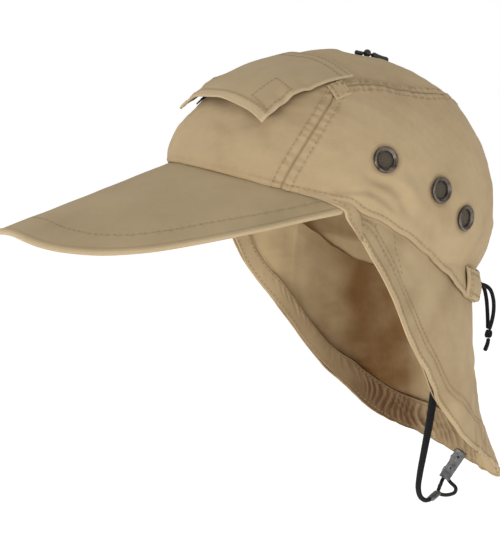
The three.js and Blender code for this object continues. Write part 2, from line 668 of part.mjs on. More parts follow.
const plateBlank = join([
  box(PLATE.top, PLATE.bottom, -PLATE.half, PLATE.half, plateInner, PLATE.face),
  ...[-1, 1].flatMap((sign) => {
    const w = sign * (PLATE.half - PLATE_EAR / 2);
    const ear = [w - PLATE_EAR / 2, w + PLATE_EAR / 2];
    return [
      box(PIN.l - 2.1, PIN.l + 2.1, ...ear, plateInner + 0.2, PIN.t + 1.7),
      box(BAR.l - 1.4, BAR.l + 1.4, ...ear, plateInner + 0.2, BAR.t + 1.1),
    ];
  }),
  rod(BAR.radius, PLATE.half - 0.2, BAR.l, BAR.t, 10),
]);
const drill = (l) => new THREE.CylinderGeometry(0.8, 0.8, 3, 10)
  .rotateX(Math.PI / 2).translate(l, 0, PLATE.face);
const pinHole = rod(PIN.hole, 6, PIN.l, PIN.t);
add('clip_plate', cut(plateBlank, [drill(0.2), drill(10.2), pinHole]).applyMatrix4(clipFrame), 'steel');

// The lever's side outline: the flat lip on the cloth, the hump over the pin, the raised thumb end.
const lever = new THREE.Shape([
  [-4.5, 0.3], [0.6, 0.3], [2.6, 2.5], [6.0, 2.9], [11.0, 4.6],
  [11.0, 5.5], [5.8, 3.7], [2.2, 3.4], [0.2, 1.1], [-4.5, 1.1],
].map(([l, t]) => new THREE.Vector2(l, t)));
const leaf = new THREE.ExtrudeGeometry(lever, { depth: 2 * JAW.half, bevelEnabled: false })
  .rotateX(Math.PI / 2).translate(0, JAW.half, 0);
const jawBlank = join([leaf, ...[-1, 1].map((sign) => {
  const w = sign * (JAW.half - JAW.ear / 2);
  return box(PIN.l - 1.4, PIN.l + 1.4, w - JAW.ear / 2, w + JAW.ear / 2, PIN.t - 1.4, 3.1);
})]);
add('clip_jaw', cut(jawBlank, [pinHole]).applyMatrix4(clipFrame), 'steel');
add('clip_pin', rod(PIN.radius, PIN.half, PIN.l, PIN.t, 12).applyMatrix4(clipFrame), 'steel');
const SPRING_PROFILE = [[1.0, -1.6], [1.6, -1.6], [1.6, 1.6], [1.0, 1.6], [1.0, -1.6]];
add('clip_spring', new THREE.LatheGeometry(SPRING_PROFILE.map(([r, h]) => new THREE.Vector2(r, h)), 12)
  .translate(PIN.l, 0, PIN.t).applyMatrix4(clipFrame), 'steel');

// The black piece lies flat on the crown's top.
function onCrown(geometry, y, height) {
  const { phi, w } = crownAt(TOGGLE_X, y);
  const normal = crownNormal(phi, w);
  const axis = V(0, 1, 0).addScaledVector(normal, -normal.y).normalize();
  return turnTo(geometry, crownOffset(phi, w, height + GAP), axis);
}
add('crown_toggle', onCrown(new THREE.CapsuleGeometry(1.6, 9, 3, 10), 30.5, 1.6), 'black');
add('crown_toggle_knot', onCrown(new THREE.SphereGeometry(1.9, 10, 6), 21.6, 1.9), 'black');
add('crown_toggle_tail', onCrown(new THREE.CapsuleGeometry(0.9, 4, 2, 8), 16.1, 0.9), 'black');

export default hat;
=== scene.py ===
"""Looks of a long-peaked cotton fishing hat with a neck cape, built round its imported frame.

Every shape is worked out in millimetres with numpy, as whole arrays, and put into a mesh in
metres. -Y is the peak's direction, +X the wearer's left, and +Z is up.
"""

import json
import logging
import math
from dataclasses import dataclass, field
from enum import Enum
from typing import Callable, Sequence

import bmesh
import bpy
import numpy as np
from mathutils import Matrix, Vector


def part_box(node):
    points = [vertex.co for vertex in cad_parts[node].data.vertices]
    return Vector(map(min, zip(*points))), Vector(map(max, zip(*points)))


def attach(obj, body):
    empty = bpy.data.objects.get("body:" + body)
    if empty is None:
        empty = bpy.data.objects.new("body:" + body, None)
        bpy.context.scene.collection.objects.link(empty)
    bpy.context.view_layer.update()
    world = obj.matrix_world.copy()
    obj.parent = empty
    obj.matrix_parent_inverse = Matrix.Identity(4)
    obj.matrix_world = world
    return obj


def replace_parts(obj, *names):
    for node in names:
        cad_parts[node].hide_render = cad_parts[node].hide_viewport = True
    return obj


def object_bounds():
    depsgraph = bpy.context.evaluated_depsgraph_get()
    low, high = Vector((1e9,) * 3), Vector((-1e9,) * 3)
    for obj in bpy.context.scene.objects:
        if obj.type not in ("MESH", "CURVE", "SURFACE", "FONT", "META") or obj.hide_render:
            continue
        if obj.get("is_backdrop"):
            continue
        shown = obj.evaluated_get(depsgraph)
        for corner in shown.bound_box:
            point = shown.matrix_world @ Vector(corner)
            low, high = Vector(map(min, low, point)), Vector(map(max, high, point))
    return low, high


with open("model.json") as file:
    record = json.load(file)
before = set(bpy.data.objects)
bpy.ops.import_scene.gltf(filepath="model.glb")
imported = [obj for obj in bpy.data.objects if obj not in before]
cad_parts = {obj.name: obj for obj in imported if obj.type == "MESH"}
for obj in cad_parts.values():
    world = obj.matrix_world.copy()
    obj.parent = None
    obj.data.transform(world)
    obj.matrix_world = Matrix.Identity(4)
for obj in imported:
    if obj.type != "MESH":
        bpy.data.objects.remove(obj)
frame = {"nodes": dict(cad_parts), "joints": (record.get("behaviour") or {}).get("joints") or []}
CAD_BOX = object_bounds()

MM = 0.001
GAP = 0.3
BODY = "hat"
JAW_BODY = "jaw"
SIDES = (("left", 1), ("right", -1))
UP = np.array((0.0, 0.0, 1.0))
LOG = logging.getLogger("hat")

Array = np.ndarray


def ease(share: Array) -> Array:
    """Returns a smooth step: 3s^2 - 2s^3 of the share clipped to 0..1."""
    share = np.clip(share, 0.0, 1.0)
    return share * share * (3.0 - 2.0 * share)


def bump(distance: Array, width: float) -> Array:
    """Returns a bell of height 1: e to the minus square of distance over width."""
    return np.exp(-np.square(distance / width))


def unit(vectors: Array) -> Array:
    """Returns the vectors along the last axis, each divided by its length."""
    length = np.linalg.norm(vectors, axis=-1, keepdims=True)
    return vectors / np.maximum(length, 1e-9)


def mix(low: Array, high: Array, share: Array) -> Array:
    """Returns low at share 0 and high at share 1, in a straight line between."""
    return low + (high - low) * share


def stack(*parts: Array) -> Array:
    """Returns the parts, brought to one shape, as the last axis of one array."""
    return np.stack(np.broadcast_arrays(*parts), axis=-1)


def run_along(line: Array) -> Array:
    """Returns how far along a line each of its points lies."""
    return np.concatenate([[0], np.cumsum(np.linalg.norm(np.diff(line, axis=0), axis=-1))])


def catmull(points: Sequence[Sequence[float]], at: Array, centripetal: bool = True) -> Array:
    """Carries a smooth curve through the points.

    Each stretch is a cubic whose end slopes come from its neighbours, weighted by the square
    root of their distances when centripetal, and evenly when not.

    Args:
        points: The points that the curve passes.
        at: Places along it, 0 at the first point and 1 at the last.
        centripetal: Whether the slopes are weighted by distance.

    Returns:
        The curve's points, one for each place.
    """
    known = np.asarray(points, float)
    ends = np.vstack([2 * known[0] - known[1], known, 2 * known[-1] - known[-2]])
    place = np.clip(at, 0.0, 1.0) * (len(known) - 1)
    cell = np.minimum(place.astype(int), len(known) - 2)
    part = (place - cell)[..., None]
    a, b, c, d = (ends[cell + k] for k in range(4))
    if centripetal:
        s0, s1, s2 = (
            np.maximum(np.sqrt(np.linalg.norm(q - p, axis=-1, keepdims=True)), 1e-4)
            for p, q in ((a, b), (b, c), (c, d))
        )
        start = s1 * ((b - a) / s0 - (c - a) / (s0 + s1) + (c - b) / s1)
        end = s1 * ((c - b) / s1 - (d - b) / (s1 + s2) + (d - c) / s2)
    else:
        start, end = (c - a) / 2, (d - b) / 2
    cubic = 2 * (b - c) + start + end
    square = 3 * (c - b) - 2 * start - end
    return b + part * (start + part * (square + part * cubic))


def waves(points: Array, length: float, count: int, seed: int) -> Array:
    """Returns gentle unevenness of about unit size: a sum of sines of seeded directions.

    Args:
        points: Points in millimetres.
        length: Length of a wave.
        count: How many sines are summed.
        seed: Seed of their directions.

    Returns:
        The unevenness at each point.
    """
    rng = np.random.default_rng(seed)
    total = np.zeros(points.shape[:-1])
    for _ in range(count):
        way = unit(rng.normal(size=3)) * (2 * math.pi / (length * rng.uniform(0.7, 1.5)))
        total += np.sin(points @ way + rng.uniform(0, 2 * math.pi))
    return total / math.sqrt(count / 2)


@dataclass(frozen=True)
class CrownForm:
    """The crown: a rounded egg whose outline powers blend from front to side to back."""

    half_width: float = 83.0
    front_reach: float = 103.0
    back_reach: float = 96.0
    rise: float = 80.7
    rim_height: float = 3.0
    rim_slope: float = 0.235
    slope_lost: float = 0.65
    span: float = 130.0
    plan_power: tuple[float, float, float] = (1.75, 2.0, 1.77)
    rise_power: tuple[float, float, float] = (1.42, 2.3, 2.75)
    tuck_share: float = 0.1
    tuck_depth: float = 29.0
    cloth: float = 1.5
    pole_softness: float = 0.16
    pole_reach: float = 0.3
    pole_lift: float = 1.12

    def powers(self, phi: Array) -> tuple[Array, Array]:
        """Returns the plan and rise powers at an angle: side's mixed with front's or back's.

        Args:
            phi: Angles round the crown from the front, in radians.

        Returns:
            The plan powers and the rise powers.
        """
        c = np.cos(phi)
        front = c > 0
        plan, rise = (
            mix(p[1], np.where(front, p[0], p[2]), c * c) for p in (self.plan_power, self.rise_power)
        )
        return plan, rise

    def point(self, phi: Array, w: Array) -> Array:
        """Places points of the crown's outer face.

        The plan shrinks with a power of the cosine of a turn that w gives, the height grows with
        a power of its sine, and below the widest line the wall tucks in with depth squared.

        Args:
            phi: Angle from the front, through the wearer's left, in radians.
            w: Share of the span above the widest line, or millimetres below it when negative.

        Returns:
            The points, in millimetres.
        """
        phi, w = np.broadcast_arrays(np.asarray(phi, float), np.asarray(w, float))
        plan, power = self.powers(phi)
        up = (math.pi / 2) * np.clip(w / self.span, 0, 1) ** (power / 2)
        down = np.maximum(0.0, -w)
        ring = np.maximum(0.0, np.cos(up)) ** (2 / plan)
        rise = np.sin(up) ** (2 / power)
        tuck = 1 - self.tuck_share * np.minimum(1, (down / self.tuck_depth) ** 2)
        reach = np.where(np.cos(phi) > 0, self.front_reach, self.back_reach)
        y = -reach * np.cos(phi) * ring
        tilt = self.rim_slope * y * (1 - self.slope_lost * rise)
        x = self.half_width * np.sin(phi) * ring
        return stack(x * tuck, y * tuck, self.rim_height - tilt + self.rise * rise - down)

    def at(self, x: Array, y: Array, soft: float = 0.0) -> tuple[Array, Array]:
        """Returns the angle and w of the crown above a place in plan.

        Args:
            x: Places across, in millimetres.
            y: Places along, in millimetres.
            soft: Softness that rounds the pole.

        Returns:
            The angles and w.
        """
        x, y = np.broadcast_arrays(np.asarray(x, float), np.asarray(y, float))
        reach = np.where(y < 0, self.front_reach, self.back_reach)
        ring = np.sqrt((x / self.half_width) ** 2 + (y / reach) ** 2 + soft * soft)
        phi = np.arctan2(x / self.half_width, -y / reach)
        plan, power = self.powers(phi)
        up = np.arccos(np.minimum(1.0, ring ** (plan / 2)))
        return phi, self.span * (up / (math.pi / 2)) ** (2 / power)

    def over(self, x: Array, y: Array, lift: Array = 0.0) -> Array:
        """Places points on the crown above places in plan, lift millimetres off its face.

        The height is the crown's, softened at the top so that the pole has no point: the ring
        share is the root of its own square and a small square.

        Args:
            x: Places across.
            y: Places along.
            lift: Distance off the face.

        Returns:
            The points, in millimetres.
        """
        x, y = np.broadcast_arrays(np.asarray(x, float), np.asarray(y, float))

        def height(a: Array, b: Array) -> Array:
            """Returns the softened height above a place."""
            ring = np.hypot(a / self.half_width, b / np.where(b < 0, self.front_reach, self.back_reach))
            near = bump(ring, self.pole_reach)
            return self.point(*self.at(a, b, self.pole_softness * near))[..., 2] + self.pole_lift * near**2

        step = 0.5
        z = height(x, y)
        slope_x = (height(x + step, y) - height(x - step, y)) / (2 * step)
        slope_y = (height(x, y + step) - height(x, y - step)) / (2 * step)
        normal = unit(stack(-slope_x, -slope_y, np.ones_like(z)))
        return stack(x, y, z) + normal * np.asarray(lift)[..., None]

    def normal(self, phi: Array, w: Array) -> Array:
        """Returns outward normals: the cross product of small steps round and up the face.

        Args:
            phi: Angles round the crown from the front, in radians.
            w: Places up the face, as in point().

        Returns:
            A unit vector at each place.
        """
        h = 0.02
        top = np.minimum(w, self.span - 2)
        around = self.point(phi + h, top) - self.point(phi - h, top)
        rising = self.point(phi, top + 0.5) - self.point(phi, top - 0.5)
        return unit(np.cross(around, rising))

    def offset(self, phi: Array, w: Array, distance: Array) -> Array:
        """Returns points a distance off the face, along its normals."""
        return self.point(phi, w) + self.normal(phi, w) * np.asarray(distance)[..., None]

    def width_at(self, phi: float, z: float) -> float:
        """Returns the w at which the face at an angle has a height, by halving an interval.

        Args:
            phi: The angle.
            z: The height.

        Returns:
            The w at that height.
        """
        low, high = -60.0, self.span
        for _ in range(40):
            middle = (low + high) / 2
            if float(self.point(phi, middle)[2]) < z:
                low = middle
            else:
                high = middle
        return (low + high) / 2


@dataclass(frozen=True)
class PeakForm:
    """The peak: a sloping sheet bent over a cylinder, with a rounded tip."""

    slope: float = math.tan(math.radians(16))
    height: float = 23.5
    arch_radius: float = 97.0
    tip: float = -208.0
    corner_y: float = -45.0
    half_width: float = 76.8
    taper: float = 0.265
    width_power: float = 3.0
    length_power: float = 4.9
    thickness: float = 3.0
    end_angle: float = math.radians(64)

    def top(self, x: Array, y: Array, front_reach: float) -> Array:
        """Returns the upper face's height: slope times distance, less the cylinder's drop."""
        arch = self.arch_radius - np.sqrt(np.maximum(1.0, self.arch_radius**2 - x * x))
        return self.height + (y + front_reach) * self.slope - arch

    def outline(self, u: Array) -> tuple[Array, Array]:
        """Returns places in plan along the outline, evenly by length from side to side.

        Args:
            u: Shares of the way from side to side, from -1 to 1.

        Returns:
            The places across and along.
        """
        a = np.linspace(-math.pi / 2, math.pi / 2, 4001)
        along = np.abs(np.cos(a)) ** (2 / self.length_power)
        across = np.sign(a) * np.abs(np.sin(a)) ** (2 / self.width_power)
        x = self.half_width * across * (1 - self.taper * along)
        y = mix(self.corner_y, self.tip, along)
        run = run_along(stack(x, y))
        at = (np.asarray(u) + 1) / 2 * run[-1]
        return np.interp(at, run, x), np.interp(at, run, y)

    def plan(self, u: Array, v: Array, crown: CrownForm) -> tuple[Array, Array]:
        """Returns places in plan: v blends from the crown's inner face out to the outline.

        Args:
            u: Shares from side to side.
            v: Shares from the crown out.
            crown: The crown that the peak meets.

        Returns:
            The places across and along.
        """
        turn = self.end_angle * u
        tucked = 1 - crown.cloth / crown.half_width
        rear_x = crown.half_width * tucked * np.sin(turn)
        rear_y = -crown.front_reach * tucked * np.cos(turn)
        front_x, front_y = self.outline(u)
        return mix(rear_x, front_x, v), mix(rear_y, front_y, v)


CROWN = CrownForm()
PEAK = PeakForm()

# Depth of the crown's lower edge below its widest line, by angle in degrees from the front, as
# shares of the hem's drop.
HEM_DROP = 49.0
HEM_ANGLE = (67, 76, 86, 97, 110, 118, 128, 142, 180)
HEM_DEPTH = (0.184, 0.251, 0.382, 0.537, 0.718, 0.857, 0.955, 1, 0.939)
HEM_EASE = (65.0, 71.0)


def hem_depth(phi: Array) -> Array:
    """Returns the hem's depth at angles, in millimetres.

    Over the peak it ends just above the peak's face, behind it the table rules, and between
    the two it eases from one to the other.

    Args:
        phi: Angles round the crown from the front, in radians.

    Returns:
        The depth below w = 0 at each angle.
    """
    degrees = np.abs(np.degrees(np.asarray(phi, float)))
    turn = np.minimum(degrees, 360 - degrees)
    angles, depths = np.asarray(HEM_ANGLE, float), np.asarray(HEM_DEPTH, float)
    cell = np.clip(np.searchsorted(angles, turn, side="left") - 1, 0, len(angles) - 2)
    part = np.clip((turn - angles[cell]) / (angles[cell + 1] - angles[cell]), 0, 1)
    table = HEM_DROP * mix(depths[cell], depths[cell + 1], 0.5 * (ease(part) + part))
    near = np.radians(np.minimum(turn, HEM_EASE[1]))
    inner = CROWN.offset(near, np.full_like(near, -0.5), np.full_like(near, -CROWN.cloth))
    over_peak = 0.5 + inner[..., 2] - PEAK.top(inner[..., 0], inner[..., 1], CROWN.front_reach) - 1.3 * GAP
    return mix(over_peak, table, ease((turn - HEM_EASE[0]) / (HEM_EASE[1] - HEM_EASE[0])))


# The cape's sections, from the centre back round to its front end: where each leaves the hem,
# its bulge, and where its free edge hangs as shares of half width, reach and drop.
CAPE_SECTIONS = (
    # angle, bulge, across, along, down
    (180, -1.6, 0, 1, 1),
    (172, -1.5, 0.072, 0.979, 0.992),
    (158, -0.6, 0.361, 0.749, 0.882),
    (142, 0.2, 0.59, 0.568, 0.813),
    (130, 0.7, 0.65, 0.453, 0.759),
    (121, 1, 0.663, 0.362, 0.706),
    (112, 1, 0.723, 0.247, 0.626),
    (104, 0.9, 0.843, 0.14, 0.519),
    (97, 0.7, 0.904, 0.033, 0.417),
    (87, 0.5, 0.988, -0.099, 0.289),
    (76, 0.2, 0.952, -0.214, 0.15),
    (69, 0, 0.934, -0.28, 0.075),
)


@dataclass(frozen=True)
class CapeForm:
    """The cape's sheet: ruled curves from the crown's hem down to a free edge."""

    cloth: float = 1.2
    rise_per_t: float = 40.0
    setback: float = 2.0
    fold_height: float = 1.8
    fold_count: float = 5.0
    half_width: float = 83.0
    reach: float = 121.5
    drop: float = 187.0
    bulge: float = 6.0
    last: int = len(CAPE_SECTIONS) - 1

    def point(self, row: Array, t: Array) -> Array:
        """Places points of the cape's outer face.

        Each section is a parabola from just under the hem, through a middle pushed outward by
        its bulge, to the free edge; shallow folds grow towards the edge with a sine of the row.

        Args:
            row: Place round the cape, 0 at the centre back, negative on the wearer's right.
            t: 0 just below the hem, 1 at the free edge, and below 0 up inside the crown.

        Returns:
            The points, in millimetres.
        """
        row, t = np.broadcast_arrays(np.asarray(row, float), np.asarray(t, float))
        table = np.asarray(CAPE_SECTIONS, float)
        at = np.clip(np.abs(row) / self.last, 0, 1)
        hem = catmull(table[:, :2], at, centripetal=False)
        phi = np.radians(np.minimum(180, hem[..., 0]))
        depth = hem_depth(phi)
        top = CROWN.offset(phi, -depth, np.full_like(phi, -CROWN.cloth - 1.6 * GAP))
        top[..., 2] = CROWN.point(phi, -depth)[..., 2] - self.setback
        size = np.array((self.half_width, self.reach, -self.drop))
        edge = catmull(table[:, 2:] * size, at)
        out = stack(np.sin(phi), -np.cos(phi), np.zeros_like(phi))
        middle = (top + edge) / 2 + out * (self.bulge * hem[..., 1])[..., None]
        s = np.maximum(0, t)[..., None]
        place = top * (1 - s) ** 2 + middle * (2 * s * (1 - s)) + edge * s * s
        fold = self.fold_height * s[..., 0] * np.sin(self.fold_count * math.pi * at)
        place = place + out * (fold * np.minimum(1, 6 * at))[..., None]
        place[..., 2] -= np.minimum(0, t) * self.rise_per_t
        place[..., 0] = np.maximum(place[..., 0], 0) * np.where(row < 0, -1, 1)
        return place

    def normal(self, row: Array, t: Array) -> Array:
        """Returns outward normals: the cross product of small steps down and along the sheet.

        Args:
            row: Places round the cape, as in point().
            t: Places down the cape, as in point().

        Returns:
            A unit vector at each place.
        """
        h = 0.02
        row, t = np.broadcast_arrays(np.asarray(row, float), np.asarray(t, float))
        ahead = self.point(np.clip(row + h, -self.last, self.last), t)
        behind = self.point(np.clip(row - h, -self.last, self.last), t)
        along = ahead - behind
        falling = self.point(row, np.minimum(1, t + h)) - self.point(row, np.maximum(-0.25, t - h))
        normal = unit(np.cross(falling, along))
        out = self.point(row, t) * np.array((1, 1, 0))
        return normal * np.where((normal * out).sum(-1, keepdims=True) < 0, -1, 1)


CAPE = CapeForm()


def distance_to(points: Array, line: Array) -> tuple[Array, Array]:
    """Measures how far points lie from a line, and how far along it.

    The nearest of the line's close-set points is found, and the part of the way to it that runs
    along the line is taken off.

    Args:
        points: Any array of points.
        line: Points about half a millimetre apart.

    Returns:
        The distances and the places along the line, in millimetres.
    """
    flat = points.reshape(-1, 3)
    tangent = unit(np.gradient(line, axis=0))
    run = run_along(line)
    gaps, places = [], []
    for block in np.array_split(flat, max(1, len(flat) // 4000)):
        square = ((block**2).sum(1)[:, None] + (line**2).sum(1)[None] - 2 * block @ line.T)
        nearest = square.argmin(1)
        way = block - line[nearest]
        slide = (way * tangent[nearest]).sum(1)
        inside = (nearest > 0) & (nearest < len(line) - 1)
        off = np.maximum(0, (way**2).sum(1) - np.where(inside, slide**2, 0))
        gaps.append(np.sqrt(off))
        places.append(run[nearest] + np.where(inside, slide, 0))
    shape = points.shape[:-1]
    return np.concatenate(gaps).reshape(shape), np.concatenate(places).reshape(shape)


def even(line: Array, step: float) -> Array:
    """Returns the line again with its points an even step apart.

    Args:
        line: Points in order, or points with more columns after them.
        step: Distance between points.

    Returns:
        The evenly spaced points.
    """
    run = run_along(line)
    count = max(2, int(round(run[-1] / step)) + 1)
    at = np.linspace(0, run[-1], count)
    return np.stack([np.interp(at, run, line[:, k]) for k in range(line.shape[1])], axis=-1)


def grid_normals(grid: Array, way: Array) -> Array:
    """Returns a grid's normals, its two directions crossed, turned to the side of a way."""
    normal = unit(np.cross(np.gradient(grid, axis=1), np.gradient(grid, axis=0)))
    return normal * np.where((normal * way).sum(-1, keepdims=True) < 0, -1, 1)


def inset(grid: Array, side: str, distance: float) -> Array:
    """Follows a grid's side at a distance into the sheet.

    Along each line of the grid that leaves the side, the point at that length is taken.

    Args:
        grid: Points in rows and columns, with any values that go with them after each.
        side: Which side: first or last row, first or last column.
        distance: How far in, in millimetres.

    Returns:
        One point, with its values, for each grid line that meets the side.
    """
    lines = {
        "first_row": grid.transpose(1, 0, 2),
        "last_row": grid[::-1].transpose(1, 0, 2),
        "first_column": grid,
        "last_column": grid[:, ::-1],
    }[side]
    steps = np.linalg.norm(np.diff(lines[..., :3], axis=1), axis=-1)
    run = np.concatenate([np.zeros((len(lines), 1)), np.cumsum(steps, axis=1)], axis=1)
    cell = np.clip((run <= distance).sum(1) - 1, 0, run.shape[1] - 2)
    pick = np.arange(len(lines))
    part = (distance - run[pick, cell]) / np.maximum(run[pick, cell + 1] - run[pick, cell], 1e-6)
    return mix(lines[pick, cell], lines[pick, cell + 1], np.clip(part, 0, 1)[:, None])


def level(grid: Array, values: Array) -> Array:
    """Follows the line on which values pass from above 0 to below it, down each grid column.

    Args:
        grid: Points in rows and columns, with any values that go with them after each.
        values: One number for each of the grid's points.

    Returns:
        One point, with its values, for each column where the values pass 0.
    """
    down = (values[:-1] > 0) & (values[1:] <= 0)
    found = down.any(0)
    pick = np.arange(grid.shape[1])[found]
    cell = down[:, found].argmax(0)
    high, low = values[cell, pick], values[cell + 1, pick]
    return mix(grid[cell, pick], grid[cell + 1, pick], (high / (high - low))[:, None])


def sample(grid: Array, row: Array, column: Array) -> Array:
    """Returns a grid's values at places between its rows and columns.

    Args:
        grid: Values in rows and columns.
        row: Places between the grid's rows, counted in rows.
        column: Places between its columns, counted in columns.

    Returns:
        The value at each place, mixed from the four round it.
    """
    row = np.clip(row, 0, grid.shape[0] - 1.001)
    column = np.clip(column, 0, grid.shape[1] - 1.001)
    r, c = row.astype(int), column.astype(int)
    part = (column - c)[..., None]
    near = mix(grid[r, c], grid[r, c + 1], part)
    return mix(near, mix(grid[r + 1, c], grid[r + 1, c + 1], part), (row - r)[..., None])


class Mesh:
    """Collects vertices, quads and vertex attributes in millimetres, and makes one object."""

    def __init__(self) -> None:
        """Starts with nothing in it."""
        self.vertices: list[Array] = []
        self.quads: list[Array] = []
        self.uvs: list[Array] = []
        self.tones: list[Array] = []
        self.count = 0

    def add(self, vertices: Array, quads: Array, uv: Array, tone: Array | float = 0.0) -> None:
        """Adds a lump of mesh.

        Args:
            vertices: Points, in millimetres.
            quads: Rows of four vertex numbers, counted from this lump's first vertex.
            uv: A flat place for each vertex, in millimetres.
            tone: Lightness change for each vertex, 0 for none.
        """
        total = len(vertices)
        self.vertices.append(vertices)
        self.quads.append(quads + self.count)
        self.uvs.append(uv)
        self.tones.append(np.broadcast_to(np.asarray(tone, float), (total,)))
        self.count += total

    def sheet(self, face: Array, normal: Array, thickness: float, tone: Array | float = 0.0, roll: int = 3,
              holes: Array | None = None, back_tone: Array | None = None) -> "Mesh":
        """Adds a closed sheet with rounded edges under a grid of face points.

        The back is the face moved in by the thickness. Round the border run half circles,
        pushed out along the sheet by the sine and across it by the cosine of their turn. Cells
        left out make holes, walled from face to back wherever one meets a kept cell.

        Args:
            face: The outer face's points in rows and columns.
            normal: The face's normals.
            thickness: Distance from face to back.
            tone: Lightness change over the grid.
            roll: Number of rings between face and back round the border.
            holes: True for each cell that is left out.
            back_tone: Lightness change of the back, or None for the face's.

        Returns:
            This mesh.
        """
        rows, columns = face.shape[:2]
        number = np.arange(rows * columns).reshape(rows, columns)
        corners = (number[:-1, :-1], number[:-1, 1:], number[1:, 1:], number[1:, :-1])
        front = np.stack([c.ravel() for c in corners], axis=1)
        middle = rows // 2, columns // 2
        cross = np.cross(
            face[middle[0], middle[1] + 1] - face[middle], face[middle[0] + 1, middle[1]] - face[middle]
        )
        if cross @ normal[middle] < 0:
            front = front[:, ::-1]
        tone = np.broadcast_to(np.asarray(tone, float), (rows, columns))
        flat = self.flat_places(face)
        total = rows * columns
        walls = np.zeros((0, 4), int)
        if holes is not None and holes.any():
            cut, front = front[holes.ravel()], front[~holes.ravel()]
            ways = np.stack([cut, np.roll(cut, -1, axis=1)], axis=-1).reshape(-1, 2)
            both = np.isin(ways[:, 0] * total + ways[:, 1], ways[:, 1] * total + ways[:, 0])
            rim = ways[~both]
            walls = np.stack([rim[:, 0], rim[:, 1], rim[:, 1] + total, rim[:, 0] + total], axis=1)
        loop = np.concatenate([number[0, :-1], number[:-1, -1], number[-1, :0:-1], number[:0:-1, 0]])
        back_quads = front[:, ::-1] + total
        points, normals = face.reshape(-1, 3), normal.reshape(-1, 3)
        inward = np.concatenate([number[1, :-1], number[:-1, -2], number[-2, :0:-1], number[:0:-1, 1]])
        out = unit(points[loop] - points[inward])
        ends = [0, columns - 1, columns + rows - 2, 2 * columns + rows - 3]
        within = [number[1, 1], number[1, -2], number[-2, -2], number[-2, 1]]
        out[ends] = unit(points[loop[ends]] - points[within])
        rings = []
        for k in range(1, roll + 1):
            turn = math.pi * k / (roll + 1)
            sink = (1 - math.cos(turn)) * thickness / 2
            rings.append(points[loop] - normals[loop] * sink + out * math.sin(turn) * thickness / 2)
        vertices = np.concatenate([points, points - normals * thickness, *rings])
        size = len(loop)
        following = np.roll(np.arange(size), -1)
        levels = [loop, *(2 * total + k * size + np.arange(size) for k in range(roll)), loop + total]
        sides = [
            np.stack([a, a[following], b[following], b], axis=1) for a, b in zip(levels[:-1], levels[1:])
        ]
        side = np.concatenate(sides)
        a, b, c = vertices[side[0, 0]], vertices[side[0, 1]], vertices[side[0, 3]]
        if np.cross(b - a, c - a) @ (out[0] + normals[loop[0]]) < 0:
            side = side[:, ::-1]
        back_tone = tone if back_tone is None else back_tone
        self.add(
            vertices,
            np.concatenate([front, back_quads, side, walls]),
            np.concatenate([flat, flat, *([flat[loop]] * roll)]),
            np.concatenate([tone.ravel(), back_tone.ravel(), *([tone.ravel()[loop]] * roll)]),
        )
        return self

    @staticmethod
    def flat_places(grid: Array) -> Array:
        """Returns flat places for a grid: lengths run along its middle row and column.

        Args:
            grid: Points in rows and columns.

        Returns:
            The flat place of each point, in millimetres.
        """
        rows, columns = grid.shape[:2]
        u, v = run_along(grid[rows // 2]), run_along(grid[:, columns // 2])
        return stack(u[None, :], v[:, None]).reshape(-1, 2)

    def tube(self, line: Array, radius: Array | float, sides: int = 12, flat: Array | float = 1.0,
             closed: bool = False, across: Array = UP) -> "Mesh":
        """Adds a tube of oval section along a line, with rounded ends.

        Each ring's frame is carried from the one before with the least turn.

        Args:
            line: The middle line's points.
            radius: Half the section's width.
            sides: Points round the section.
            flat: The section's height as a share of its width.
            closed: Whether the line is a ring.
            across: First direction of the section's width.

        Returns:
            This mesh.
        """
        tangent = np.gradient(line, axis=0)
        if closed:
            tangent = np.roll(line, -1, 0) - np.roll(line, 1, 0)
        tangent = unit(tangent)
        side = np.zeros_like(line)
        if abs(across @ tangent[0]) > 0.9:
            across = np.array((1.0, 0.0, 0.0))
        side[0] = unit(across - tangent[0] * (across @ tangent[0]))
        for k in range(1, len(line)):
            side[k] = unit(side[k - 1] - tangent[k] * (side[k - 1] @ tangent[k]))
        up = np.cross(tangent, side)
        radius = np.broadcast_to(np.asarray(radius, float), (len(line),))[:, None, None]
        flat = np.broadcast_to(np.asarray(flat, float), (len(line),))[:, None, None]
        angle = np.linspace(0, 2 * math.pi, sides, endpoint=False)[None]
        c, s = np.cos(angle)[..., None] * radius, np.sin(angle)[..., None] * radius * flat
        rings = line[:, None] + side[:, None] * c + up[:, None] * s
        run = run_along(line)
        if not closed:
            steps = (np.arange(1, 4) * math.pi / 6.4)[:, None, None]
            first, last = (
                line[end] + tangent[end] * np.sin(steps) * radius[end, 0, 0] * reach
                + (rings[end] - line[end]) * np.cos(steps)
                for end, reach in ((0, -0.8), (-1, 0.8))
            )
            rings = np.concatenate([first[::-1], rings, last])
            run = np.concatenate([[run[0]] * 3, run, [run[-1]] * 3])
        total = len(rings)
        number = np.arange(total * sides).reshape(total, sides)
        following = np.roll(number, -1, axis=1)
        if closed:
            nxt = np.roll(number, -1, axis=0)
            quads = np.stack([number, following, np.roll(nxt, -1, axis=1), nxt], axis=-1)
        else:
            quads = np.stack([number[:-1], following[:-1], following[1:], number[1:]], axis=-1)
        quads = quads.reshape(-1, 4)
        if not closed and sides % 2 == 0:
            half = sides // 2
            for ring, flip in ((number[0], True), (number[-1], False)):
                k = np.arange(half - 1)
                cap = np.stack([ring[k], ring[k + 1], ring[sides - 2 - k], ring[sides - 1 - k]], axis=1)
                quads = np.concatenate([quads, cap[:, ::-1] if flip else cap])
        around = np.linspace(0, 1, sides, endpoint=False)
        self.add(rings.reshape(-1, 3), quads, stack(around[None], run[:, None]).reshape(-1, 2))
        return self

